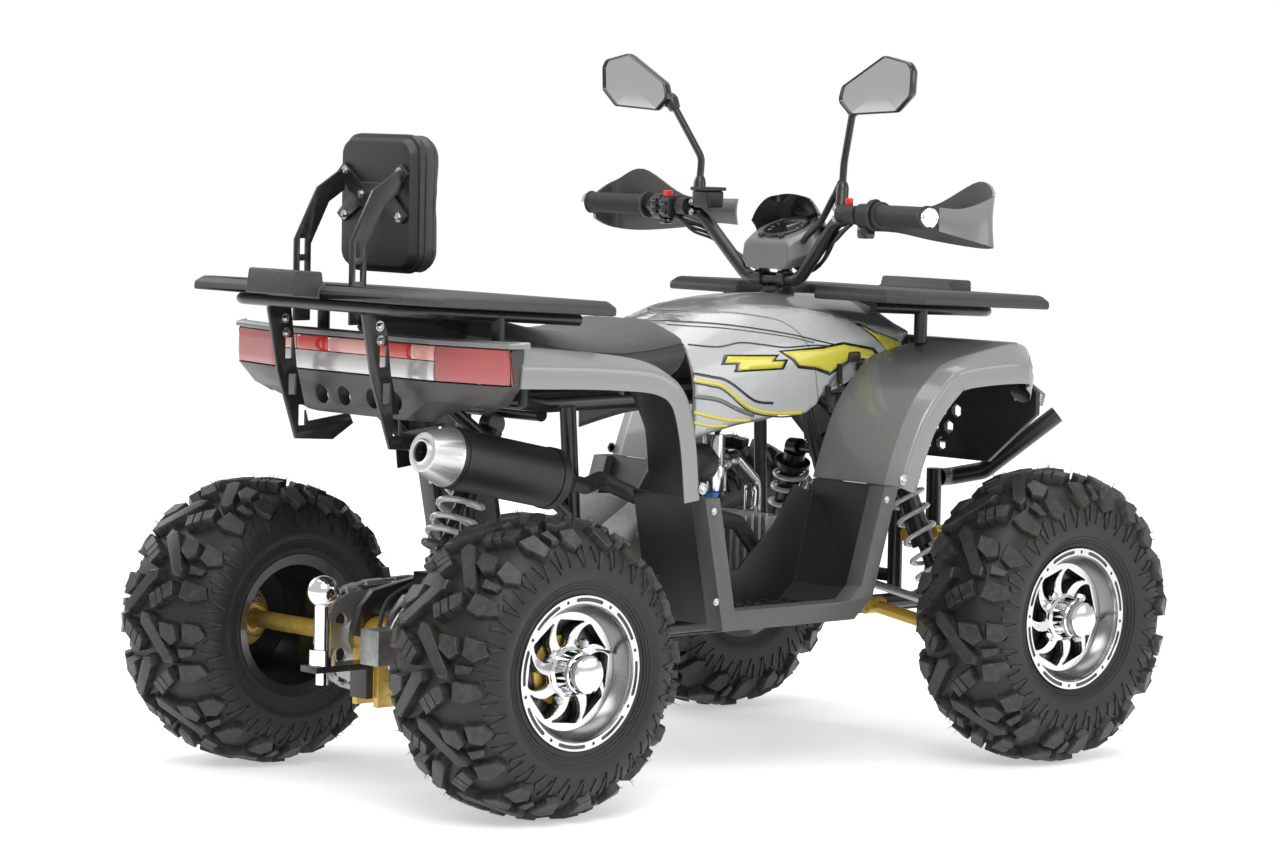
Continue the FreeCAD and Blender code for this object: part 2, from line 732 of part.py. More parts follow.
can_len = 214.0
tip = V(-632.0, silencer_y, 539.0)
along = V(math.cos(math.radians(silencer_tilt)), 0, -math.sin(math.radians(silencer_tilt)))
cap_len = 48.0
can_start = tip + along * cap_len
can_end = can_start + along * can_len
can = Part.makeCylinder(silencer_r, can_len, can_start, along)
taper = Part.makeCone(silencer_r, 16.0, 34.0, can_end, along)
save("silencer", [can.fuse(taper)])
cap = Part.makeCone(30.0, silencer_r, cap_len - seat_gap, tip, along)
outlet = Part.makeCylinder(15.0, 30.0, tip - along * 1.0, along)
save("silencer_cap", [cap.cut(outlet)])
pipe_start = can_end + along * 34.3
header = bent([
    tuple(pipe_start),
    tuple(pipe_start + along * 34),
    (-235, -150, 476),
    (-140, -144, 440),
    (70, -140, 392),
    (196, -128, 266),
    (240, -60, 262),
    (244, -4, 262),
], 13.0, 15.0)
port = rod((244, 0, 256), (244, 0, 294 - seat_gap), 18.0)
save("header_pipe", [header.fuse(port)])


# Body shells: an arched sheet with a bevelled edge and a lip, along stations from one end to the other

def arch_shell(stations, bevel):
    """Stations are (x, z, inner y, edge y, drop of the edge); the left side is built."""
    path = [(s[0], s[1]) for s in stations]
    ring = strip(path, 1.0)
    count = len(path)
    sections = []
    for k, (x, z, y_in, y_edge, drop) in enumerate(stations):
        bx, bz = ring[2 * count - 1 - k]
        n = V(bx - x, 0, bz - z)

        def at(y, depth):
            return V(x, y, z) + n * depth

        sections.append([
            at(y_in, 0), at(y_edge - bevel, 0), at(y_edge, drop), at(y_edge, drop + arch_lip),
            at(y_edge - wall, drop + arch_lip), at(y_edge - wall, drop + wall * 0.6),
            at(y_edge - bevel - wall * 0.4, wall), at(y_in, wall),
        ])
    return skin(sections)


front_half = arch_shell(front_arch, arch_bevel)
below = block(-400, 400, -500, 500, 400, body_joint_z + seat_gap / 2)
front_body = front_half.fuse(mirrored(front_half)).cut(below)
save("front_bodywork", [front_body])

rear_half = arch_shell(rear_arch, arch_bevel)
behind = block(rear_arch[-1][0] - 60, rear_arch[-1][0], 0, 500, 600, 800)
save("rear_fenders", both(rear_half.cut(below).cut(behind)))

# Centre cover over the tank, open below, with a hole for the stem


def cover_section(x, top, crown, shoulder, waist, foot):
    """Closed outline of a shell: half widths at the crown, shoulder, waist and foot."""
    half = [(crown[0], crown[1]), (shoulder[0], shoulder[1]), (waist[0], waist[1]), (foot[0], foot[1])]
    outer = [(y, z) for y, z in half[::-1]] + [(0, top)] + [(-y, z) for y, z in half]
    ring = strip(outer, wall)
    return [V(x, y, z) for y, z in ring]


cover = skin([
    cover_section(-30, 700, (60, 696), (110, 676), (136, 620), (138, 530)),
    cover_section(60, 736, (60, 731), (112, 706), (142, 640), (140, 548)),
    cover_section(150, 754, (62, 748), (116, 722), (cover_waist, 650), (cover_waist - 6, 560)),
    cover_section(311, 755, (62, 748), (118, 722), (144, 680), (138, 610)),
    cover_section(420, 742, (58, 735), (112, 712), (136, 690), (134, 660)),
    cover_section(462, 720, (52, 714), (100, 700), (126, 690), (126, 684)),
])
stem_hole = Part.makeCylinder(26.0, 120.0, clamp - stem_dir * 90.0, stem_dir)
save("tank_cover", [cover.cut(stem_hole)])

# Seat with its nose against the cover


def seat_section(x, half, low, top, crown):
    return [
        V(x, -half * 0.86, low), V(x, half * 0.86, low), V(x, half, low + 0.45 * (top - low)),
        V(x, half * 0.84, top - 8), V(x, half * 0.4, top + crown), V(x, -half * 0.4, top + crown),
        V(x, -half * 0.84, top - 8), V(x, -half, low + 0.45 * (top - low)),
    ]


seat = skin([
    seat_section(-32.5, 146, 640, 716, 5),
    seat_section(-80, 158, seat_low_z, 712, 4),
    seat_section(-190, 162, seat_low_z, 698, 2),
    seat_section(-300, 160, 640, 704, 2),
    seat_section(-400, 156, 668, 722, 3),
    seat_section(-512, 148, 690, 730, 3),
])
save("seat", [seat])

# Tail: dark panel with the lamp band above it

tail_rear = [(-600, -190), (-572, -330)]
lamp_low, lamp_high, lamp_half = 642.0, 697.0, 333.0
tail_front = rear_arch[-1][0] - seat_gap


def tail_section(z, shift, scale):
    """Level section of the tail panel: a bevelled back and a straight front."""
    back = [V(x + shift, y * scale, z) for x, y in tail_rear]
    front = [V(tail_front, -346 * scale, z), V(tail_front, 346 * scale, z)]
    return back + front + [V(p.x, -p.y, z) for p in back[::-1]]


tail = skin([
    tail_section(703.5, 0, 1.0),
    tail_section(690, -8, 1.0),
    tail_section(640, -8, 0.98),
    tail_section(612, 2, 0.9),
    tail_section(578, 10, 0.56),
])
tail = tail.cut(block(-574, -500, -262, 262, 560, 760))


def lamp_space(gap):
    """Band round the tail's back and its bevelled corners, grown by a gap."""
    back = [(-588 + gap, -190), (-560 + gap, -322 + gap), (-500, -322 + gap)]
    plan = back + [(x, -y) for x, y in back[::-1]]
    band = block(-640, -500, -lamp_half - gap, lamp_half + gap, lamp_low - gap, lamp_high + gap)
    return band.cut(prism_z(plan, lamp_low - 20, lamp_high + 20))


lamp_bar = tail.common(lamp_space(0.0))
tail = tail.cut(lamp_space(seat_gap))
for y in (-90, -35, 35, 90):
    tail = tail.cut(rod((-640, y, 606), (-500, y, 606), 15.0))
save("tail_panel", [tail])
save("tail_lamp", [lamp_bar])

# Racks: bevelled decks with a raised lip, on tubes


def deck(x0, x1, half, z, lip_at, lip_dir, lip_half):
    corner = 46.0
    plan = [
        (x0, -half + corner), (x0 + corner, -half), (x1 - corner, -half), (x1, -half + corner),
        (x1, half - corner), (x1 - corner, half), (x0 + corner, half), (x0, half - corner),
    ]
    mid_x = (x0 + x1) / 2
    low = [V(x, y, z) for x, y in plan]
    rise = [V(x, y, z + deck_t * 0.55) for x, y in plan]
    top = [V(mid_x + (x - mid_x) * 0.95, y * 0.96, z + deck_t) for x, y in plan]
    slab = skin([low, rise, top])
    lip_top = z + deck_t + lip_h
    lip = prism_y([(lip_at, z + 2), (lip_at + lip_dir * lip_depth, z + 2),
                   (lip_at + lip_dir * (lip_depth - 8), lip_top), (lip_at + lip_dir * 4, lip_top)], -lip_half, lip_half)
    return slab.fuse(lip)


rear_mid = (rear_deck_x0 + rear_deck_x1) / 2
front_mid = (front_deck_x0 + front_deck_x1) / 2
rear_deck = deck(rear_deck_x0, rear_deck_x1, rear_deck_half, rear_deck_z - 8, rear_lip_x, 1, rear_lip_half)
arm_slots = both(block(arm_x - arm_w - 6, arm_x + 6, arm_y - seat_gap, arm_y + plate_t + seat_gap, 700, 900))
save("rear_rack", [tilted(rear_deck, rear_deck_tilt, rear_mid, rear_deck_z).cut(fuse(arm_slots))])
front_deck = deck(front_deck_x0, front_deck_x1, front_deck_half, front_deck_z - 4, front_deck_x1, -1, front_lip_half)
notch = block(front_deck_x0 - 10, front_deck_x0 + 168, -92, 92, 600, 900)
save("front_rack", [tilted(front_deck, front_deck_tilt, front_mid, front_deck_z).cut(notch)])



def under_deck(x, mid, base, tilt):
    """Height of a rack tube that runs along the underside of a deck tilted about its middle."""
    slope = math.radians(tilt)
    return base + (mid - x) * math.tan(slope) - (rack_tube_r + seat_gap) / math.cos(slope)


def under_rear(x):
    return under_deck(x, rear_mid, rear_deck_z - 8, rear_deck_tilt)


def under_front(x):
    return under_deck(x, front_mid, front_deck_z - 4, front_deck_tilt)


def rack_frame(height, x_open, x_end, half, post_x, foot, post_r):
    """Tube round three sides under a deck, on two posts from the body."""
    corners = [(x_open, half), (x_end, half), (x_end, -half), (x_open, -half)]
    loop = bent([(x, y, height(x)) for x, y in corners], rack_tube_r, 40.0)
    post = rod((post_x, half, foot), (post_x, half, height(post_x)), post_r)
    return fuse([loop] + both(post))


rear_loop_x = arm_x - arm_w - rack_tube_r - seat_gap
rear_foot = height_on(rear_line, -511) + 0.6
front_foot = height_on(front_line, 451) + 0.4
save("rear_rack_frame", [rack_frame(under_rear, -340, rear_loop_x, 213, -500, rear_foot, 10.0)])
save("front_rack_frame", [rack_frame(under_front, 330, 620, 178, 440, front_foot, 11.0)])

# Slotted guard plates that hang from the rear rack's tube

guard_top = under_rear(rear_loop_x) - rack_tube_r - seat_gap
guard = prism_y([(-684, guard_top), (-640, guard_top), (-628, 648), (-604, 562), (-524, 572), (-516, 556), (-556, 532),
                 (-628, 536), (-664, 640)], 113, 119)
for x, z in ((-643, 676), (-636, 620), (-616, 572)):
    guard = guard.cut(block(x - 7, x + 7, 110, 122, z - 16, z + 16))
save("tail_guard", both(guard))

# Backrest: pad with a hard shell, crossed bracket and two slotted arms

pad_ring = []
for cy, cz, start in ((1, 1, 0), (-1, 1, 90), (-1, -1, 180), (1, -1, 270)):
    for step in (0, 30, 60, 90):
        turn = math.radians(start + step)
        mid_y = cy * (pad_half - pad_corner)
        mid_z = (pad_z0 + pad_corner) if cz < 0 else (pad_z1 - pad_corner)
        pad_ring.append((mid_y + pad_corner * math.cos(turn), mid_z + pad_corner * math.sin(turn)))
save("backrest_pad", [prism_x(pad_ring, pad_x, pad_x + pad_t)])
bracket_x0, bracket_x1 = pad_x - plate_t - 1.3, pad_x - seat_gap
bracket = prism_x([(-70, 872), (-30, 896), (30, 896), (70, 872), (86, 884), (52, 915), (86, 948), (70, 962),
                   (30, 934), (-30, 934), (-70, 962), (-86, 948), (-52, 915), (-86, 884)], bracket_x0, bracket_x1)
for y, z in ((-66, 882), (66, 882), (0, 915), (-66, 950), (66, 950)):
    bracket = bracket.cut(rod((bracket_x0 - 5, y, z), (bracket_x1 + 5, y, z), 4.5))
arm_path = [(arm_x, rear_deck_z - 36), (arm_x, 838), (arm_x + 34, 902), (pad_x + 10, 930)]
rest_arm = prism_y(strip(arm_path, arm_w), arm_y, arm_y + plate_t)
for z0, z1 in ((786, 812), (822, 846)):
    rest_arm = rest_arm.cut(block(arm_x - arm_w / 2 - 6, arm_x - arm_w / 2 + 6, arm_y - 5, arm_y + plate_t + 5, z0, z1))
rest_arm = rest_arm.cut(block(bracket_x0, pad_x + 60, 40, 90, 700, 1100))
save("backrest_bracket", [fuse([bracket] + both(rest_arm))])

# Footwells: a grey frame round an inner wall, floor and toe step


def footwell():
    """Frame band on the outer side, with a slotted floor, a back wall and an inner wall behind it."""
    outer = [(-200, 480), (-154, well_floor), (130, well_floor), (170, well_floor + 34), (229, 480)]
    frame_ring = prism_y(strip(outer, well_band), well_out - 34.0, well_out)
    floor_low = well_floor + 6.0
    floor = prism_y(strip([(-148, floor_low), (132, floor_low), (168, floor_low + 32), (220, 480)], 8.0),
                    well_in, well_out - 20.0)
    back = prism_y(strip([(-189, 480), (-148, floor_low)], 8.0), well_in, well_out - 20.0)
    inner = prism_y([(-158, floor_low + 4), (138, floor_low + 4), (174, floor_low + 32), (214, 431), (161, 453),
                     (118, 391), (38, 321), (-162, 321)], well_in, well_in + 6.0)
    cuts = []
    for k in range(6):
        x = -118 + 40 * k
        cuts.append(block(x, x + 24, well_in + 36, well_out - 50, floor_low - 10, floor_low + 20))
    cuts.append(block(-400, 400, 0, 500, body_joint_z - seat_gap / 2, 600))
    return fuse([frame_ring, floor, back, inner]).cut(fuse(cuts))


well = footwell()
save("footwell_left", [well])
save("footwell_right", [mirrored(well)])

# Black inner fenders in front of the rear wheels and behind the front ones

liner_line = offset_path(rear_line, wall + seat_gap)[:4]
flap = prism_y(strip(liner_line, 3.0), 230, well_out - arch_bevel - 3.0).cut(below)
save("rear_inner_fenders", both(flap))

# Front: black fascia with a honeycomb grille, and the lamps

fascia_x = 572.7
fascia = prism_x([(-318, 560), (-210, 474), (210, 474), (318, 560), (318, 596), (262, 639.5), (-262, 639.5), (-318, 596)],
                 fascia_x, fascia_x + 10)
cell = 34.0
cell_r = 12.0
grille_z = 554.0
hexes = []
for row in range(-2, 3):
    for col in range(-5, 6):
        y = col * cell + (row % 2) * cell / 2
        z = grille_z + row * cell * 0.84
        if (y / 160.0) ** 2 + ((z - grille_z) / 84.0) ** 2 > 1:
            continue
        ring = []
        for k in range(6):
            a = math.radians(60 * k + 30)
            ring.append((y + cell_r * math.cos(a), z + cell_r * math.sin(a)))
        hexes.append(prism_x(ring, fascia_x - 5, fascia_x + 20))
save("front_grille", [fascia.cut(Part.makeCompound(hexes))])
lamp = prism_x([(200, 590), (215, 560), (300, 572), (306, 592), (250, 622), (206, 618)],
               fascia_x + 10 + seat_gap, fascia_x + 36)
save("headlamps", both(lamp))

# Bumper of bent tube

horn_x = rail_end_x + rail_r + seat_gap
horn = bent([(horn_x + 0.3, front_rail_y, 436), (horn_x + 24, front_rail_y, 436), (horn_x + 62, 116, 448),
             (758, 196, 546)], 15.0, 24.0)
bar = rod((704, -154, 496), (704, 154, 496), 12.0)
save("front_bumper", [fuse(both(horn) + [bar])])

# Front suspension arms, drawn on the left side

ball_y = kingpin_y - 34.0


def wishbone(x0, x1, z_in, z_out, r):
    """Two legs from sleeves beside the frame rail to one ball joint."""
    sleeve_r = r + 3.0
    y_in = front_rail_y + rail_r + seat_gap + sleeve_r
    legs = [
        rod((x0, y_in, z_in), (xf - 6, ball_y, z_out), r),
        rod((x1, y_in, z_in), (xf + 6, ball_y, z_out), r),
        rod((x0 - 20, y_in, z_in), (x0 + 20, y_in, z_in), sleeve_r),
        rod((x1 - 20, y_in, z_in), (x1 + 20, y_in, z_in), sleeve_r),
        rod((xf, ball_y - 14, z_out), (xf, kingpin_y - 12.0 - seat_gap, z_out), r + 2),
    ]
    return fuse(legs)


lower_arm = wishbone(xf - 100.0, xf + 60.0, lower_rail_z, zf - 58.0, 11.0)
upper_arm = wishbone(xf - 6.0, xf + 60.0, front_rail_z, zf + 62.0, 9.0)
save("front_arms", both(lower_arm) + both(upper_arm))

# Shock absorbers: damper and coil spring


def coil(a, b, r, wire, turns):
    """Square-wire spring of flat facets from a to b."""
    axis = (b - a).normalize()
    side = axis.cross(V(0, 1, 0)).normalize()
    up = axis.cross(side)
    length = (b - a).Length
    steps = 10
    sections = []
    for k in range(int(turns * steps) + 1):
        ang = 2 * math.pi * k / steps
        out = side * math.cos(ang) + up * math.sin(ang)
        c = a + axis * (length * k / (turns * steps))
        sections.append([c + out * (r - wire), c + out * (r - wire / 2) + axis * (wire / 2), c + out * r,
                         c + out * (r - wire / 2) - axis * (wire / 2)])
    return skin(sections)


def shock(a, b, body_r, rod_radius, coil_r, wire, turns, low_r):
    """Damper with two spring plates and an eye at each end, and the coil between the plates."""
    a, b = V(*a), V(*b)
    axis = (b - a).normalize()
    length = (b - a).Length
    plate = 7.0
    top_at, low_at = 0.12 * length, 0.88 * length

    def along_axis(s0, s1, r):
        return Part.makeCylinder(r, s1 - s0, a + axis * s0, axis)

    parts = [
        along_axis(body_r * 0.45, 0.56 * length, body_r),
        along_axis(0.5 * length, length, rod_radius),
        along_axis(top_at - plate, top_at, coil_r - 2),
        along_axis(low_at, low_at + plate, coil_r - 2),
        rod((a.x, a.y - eye_half, a.z), (a.x, a.y + eye_half, a.z), body_r * 0.8),
        rod((b.x, b.y - eye_half, b.z), (b.x, b.y + eye_half, b.z), low_r),
    ]
    rest = wire / 2 + seat_gap
    spring = coil(a + axis * (top_at + rest), a + axis * (low_at - rest), coil_r, wire, turns)
    return fuse(parts), spring


front_damper, front_spring = shock(front_shock_top, front_shock_low, front_shock_body, 9.0, 32.0, 8.0, 6, 11.0)
rear_damper, rear_spring = shock((rear_shock_top[0], 0, rear_shock_top[1]), (rear_shock_low[0], 0, rear_shock_low[1]),
                                 rear_shock_body, 9.0, 38.0, 9.0, 6, rear_shock_eye)
save("dampers", both(front_damper) + [rear_damper])
save("springs", both(front_spring) + [rear_spring])

# Steering: stem, pitman plate, clamp

stem = Part.makeCylinder(stem_r, (clamp - stem_foot).Length, stem_foot, stem_dir)
fore = stem_dir.cross(V(0, 1, 0))
if fore.x < 0:
    fore = fore * -1
pitman_c = stem_foot + stem_dir * 14.0
pitman_pts = []
for u, y in ((16.0, -16.0), (16.0, 16.0), (-pitman_reach - 12.0, 12.0), (-pitman_reach - 12.0, -12.0)):
    pitman_pts.append(pitman_c + fore * u + V(0, y, 0))
pitman = flat(pitman_pts).extrude(stem_dir * pitman_t)
pitman_eye = pitman_c - fore * pitman_reach
pin_half = eye_step + pitman_t
eye_pin = Part.makeCylinder(eye_r, pin_half * 2 + pitman_t, pitman_eye - stem_dir * pin_half, stem_dir)
clamp_block = Part.makeCylinder(24.0, 22.0, clamp - stem_dir * 22.0, stem_dir)
save("steering_stem", [fuse([stem, pitman, eye_pin, clamp_block])])

# Handlebar with a rise on each side

bar_mid = clamp + stem_dir * (bar_r + seat_gap)
bar_points = [
    (bar_mid.x, 0, bar_mid.z),
    (bar_mid.x, 60, bar_mid.z),
    (clamp_x - 18, 160, 874),
    (clamp_x - 34, 236, 888),
    (grip_x, grip_end_y, grip_z),
]
half_bar = bent(bar_points, bar_r, 40.0)
save("handlebar", [fuse(both(half_bar))])
grip = rod((grip_x + 21.0, grip_end_y - grip_len, grip_z - 0.5), (grip_x, grip_end_y, grip_z), grip_r)
grip = grip.cut(half_bar)
save("grips", both(grip))
switch = block(222, 272, 206, 258, 866, 908).cut(half_bar)
save("controls", both(switch))
# Hand guards: a bent shell lofted through stations of (x, y, low z, high z), with a washer at the bar's end

guard_at = [
    (217, 405.6, 873, 905),
    (262, 436, 858, 905),
    (316, 446, 843, 925),
    (333, 400, 840, 946),
    (335, 300, 848, 905),
    (335, 215, 858, 901),
    (322, 150, 858, 902),
]
guard_t = 5.0
guard_in = offset_path([(x, y) for x, y, low, high in guard_at], guard_t)
guard_sections = []
for (x, y, low, high), (x_in, y_in) in zip(guard_at, guard_in):
    guard_sections.append([V(x, y, low), V(x, y, high), V(x_in, y_in, high), V(x_in, y_in, low)])
guard_shell = skin(guard_sections)
grip_end = V(grip_x, grip_end_y, grip_z)
grip_dir = V(-21.0, grip_len, 0.5).normalize()
end_disc = Part.makeCylinder(14.0, 8.0, grip_end + grip_dir * seat_gap, grip_dir)
save("hand_guards", both(guard_shell.fuse(end_disc)))

# Mirrors: a bent stem and a shaped housing turned a little towards the rider

stem_low = (256, 171, 888.4)
mirror_stem = bent([stem_low, (262, 170, 970), (232, 222, 1072)], 6.0, 30.0)
mirror_boot = Part.makeCone(11.0, 7.0, 34.0, V(256.3, 171, 894.0), V(0.08, -0.01, 1.0))
glass_ring = [(203, 1069), (230, 1047), (335, 1053), (368, 1080), (370, 1120), (362, 1132), (305, 1143), (211, 1093)]


def mirror_section(x, scale):
    """Outline of the mirror's housing, shrunk about its middle."""
    mid_y, mid_z = 290.0, 1096.0
    return [V(x, mid_y + (y - mid_y) * scale, mid_z + (z - mid_z) * scale) for y, z in glass_ring]


mirror_shell = skin([mirror_section(212, 1.0), mirror_section(222, 1.0), mirror_section(240, 0.66)])
save("mirrors", both(fuse([mirror_stem, mirror_boot, mirror_shell])))

# Instrument pod with the flat visor in front of it


def pod_section(x, half, low, high):
    mid = low + 0.55 * (high - low)
    side = [(half * 0.7, low), (half, mid), (half * 0.66, high)]
    return [V(x, -y, z) for y, z in side] + [V(x, y, z) for y, z in side[::-1]]


pod = skin([pod_section(250, 36, 785, 835), pod_section(304, 70, 800, 860), pod_section(345, 40, 822, 878)])
visor_rear = [(352, 0, 850, 915), (352, 44, 850, 915), (335, 67, 850, 901), (312, 85, 850, 868)]
visor_path = [(x, y) for x, y, low, high in visor_rear]
visor_in = offset_path(visor_path, 4.0)
visor_sections = []
for (x, y, low, high), (x_in, y_in) in zip(visor_rear, visor_in):
    back = (high - low) * 0.7
    visor_sections.append([V(x, y, low), V(x - back, y, high), V(x_in - back, y_in, high), V(x_in, y_in, low)])
visor = fuse(both(skin(visor_sections)))
pod_foot = block(bar_mid.x - 8, bar_mid.x + 8, -30, 30, bar_mid.z + bar_r + seat_gap, 812)
save("instrument_pod", [fuse([pod, visor, pod_foot])])

# Knuckles and tie rods: both rods turn on one pin of the pitman plate, the left one below it and the right one above

for name, turn in (("left", 1), ("right", -1)):
    post = rod((xf, kingpin_y, zf - kingpin_half), (xf, kingpin_y, zf + kingpin_half), 12.0)
    spindle = rod((xf, kingpin_y, zf), (xf, front_track / 2 + front_shaft_end - 0.3, zf), spindle_r)
    arm_end = xf - knuckle_reach - 11.0
    steer_arm = prism_z([(xf - 8, kingpin_y + 9), (arm_end, kingpin_y + 9), (arm_end, kingpin_y - 10),
                         (xf - 8, kingpin_y - 12)], zf + 17, zf + 25)
    pin = rod((xf - knuckle_reach, kingpin_y, zf - 10), (xf - knuckle_reach, kingpin_y, zf + 20), eye_r)
    knuckle = fuse([post, spindle, steer_arm, pin])
    eye_in = pitman_eye - stem_dir * (eye_step if turn > 0 else -eye_step - pitman_t)
    eye_out = V(xf - knuckle_reach, kingpin_y, zf)
    ring_in = Part.makeCylinder(11.0, 10.0, eye_in - stem_dir * 5.0, stem_dir)
    ring_out = rod((eye_out.x, eye_out.y, eye_out.z - 5), (eye_out.x, eye_out.y, eye_out.z + 5), 13.0)
    tie = fuse([rod(tuple(eye_in), tuple(eye_out), rod_r), ring_in, ring_out])
    tie = tie.cut(Part.makeCylinder(eye_r + shaft_gap, 40.0, eye_in - stem_dir * 20.0, stem_dir))
    tie = tie.cut(rod((eye_out.x, eye_out.y, eye_out.z - 20), (eye_out.x, eye_out.y, eye_out.z + 20), eye_r + 4.0))
    if turn < 0:
        knuckle = mirrored(knuckle)
        tie = mirrored(tie)
    save("knuckle_" + name, [knuckle])
    save("tie_rod_" + name, [tie])
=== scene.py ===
import json
import math
import random

import bmesh
import bpy
from bpy.props import FloatProperty, FloatVectorProperty, PointerProperty
from mathutils import Matrix, Vector, geometry
from mathutils.bvhtree import BVHTree


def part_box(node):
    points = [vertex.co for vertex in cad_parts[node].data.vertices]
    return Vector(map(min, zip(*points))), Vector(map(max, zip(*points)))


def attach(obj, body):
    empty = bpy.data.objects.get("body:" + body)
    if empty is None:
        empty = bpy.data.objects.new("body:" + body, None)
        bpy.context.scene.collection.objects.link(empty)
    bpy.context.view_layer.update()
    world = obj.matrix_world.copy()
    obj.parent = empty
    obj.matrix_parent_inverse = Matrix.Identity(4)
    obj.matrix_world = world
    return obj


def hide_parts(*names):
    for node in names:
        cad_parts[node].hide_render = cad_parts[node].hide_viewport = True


bl_info = {
    "name": "Utility Quad Bike",
    "version": (1, 0, 0),
    "blender": (4, 5, 0),
    "location": "3D View > Sidebar > Quad Bike",
    "description": "Dresses the packed quad bike frame with detailed pieces and finishes",
    "category": "Object",
}

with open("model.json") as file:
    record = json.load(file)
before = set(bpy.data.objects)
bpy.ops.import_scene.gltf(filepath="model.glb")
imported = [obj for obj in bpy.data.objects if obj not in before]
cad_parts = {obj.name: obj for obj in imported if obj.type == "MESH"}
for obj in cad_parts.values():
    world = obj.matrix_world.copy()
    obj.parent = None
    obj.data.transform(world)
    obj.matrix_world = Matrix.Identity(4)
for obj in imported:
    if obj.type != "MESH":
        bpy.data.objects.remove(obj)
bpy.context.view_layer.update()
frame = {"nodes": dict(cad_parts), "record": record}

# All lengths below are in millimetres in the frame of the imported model; pieces turn them into metres
MM = 0.001
# Points of a mesh closer than this, in metres, become one: in new pieces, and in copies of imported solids
WELD = 1e-6
PACKED_WELD = 2e-6


def node_mm(node):
    """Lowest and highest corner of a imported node, in millimetres."""
    low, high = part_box(node)
    return Vector(low) / MM, Vector(high) / MM


rear_tyre_low, rear_tyre_high = node_mm("rear_tyres")
front_tyre_low, front_tyre_high = node_mm("front_tyre_left")
rear_axle_x = (rear_tyre_low.x + rear_tyre_high.x) / 2
rear_axle_z = (rear_tyre_low.z + rear_tyre_high.z) / 2
front_axle_x = (front_tyre_low.x + front_tyre_high.x) / 2
front_axle_z = (front_tyre_low.z + front_tyre_high.z) / 2
rear_wheel_y = 339.0
front_wheel_y = (front_tyre_low.y + front_tyre_high.y) / 2
SIDES = ((1, "left"), (-1, "right"))


# Shapes

def piece(name, verts, faces, material, body, crease):
    """A mesh from millimetre points, smooth apart from its sharp edges, riding on a body."""
    mesh = bpy.data.meshes.new(name)
    mesh.from_pydata([tuple(Vector(v) * MM) for v in verts], [], faces)
    clean = bmesh.new()
    clean.from_mesh(mesh)
    bmesh.ops.remove_doubles(clean, verts=clean.verts, dist=WELD)
    bmesh.ops.recalc_face_normals(clean, faces=clean.faces)
    clean.to_mesh(mesh)
    clean.free()
    mesh.shade_smooth()
    mesh.set_sharp_from_angle(angle=math.radians(crease))
    mesh.materials.append(material)
    obj = bpy.data.objects.new(name, mesh)
    bpy.context.scene.collection.objects.link(obj)
    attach(obj, body)
    return obj


def modifier(obj, kind, **values):
    """Adds a modifier of that kind and sets its values."""
    added = obj.modifiers.new(kind.title(), kind)
    for key, value in values.items():
        setattr(added, key, value)
    return added


def bevel(obj, width, segments=2, angle=32.0):
    """Rounds the sharp edges by width, in millimetres."""
    modifier(obj, "BEVEL", width=width * MM, segments=segments, limit_method="ANGLE",
             angle_limit=math.radians(angle), harden_normals=True)


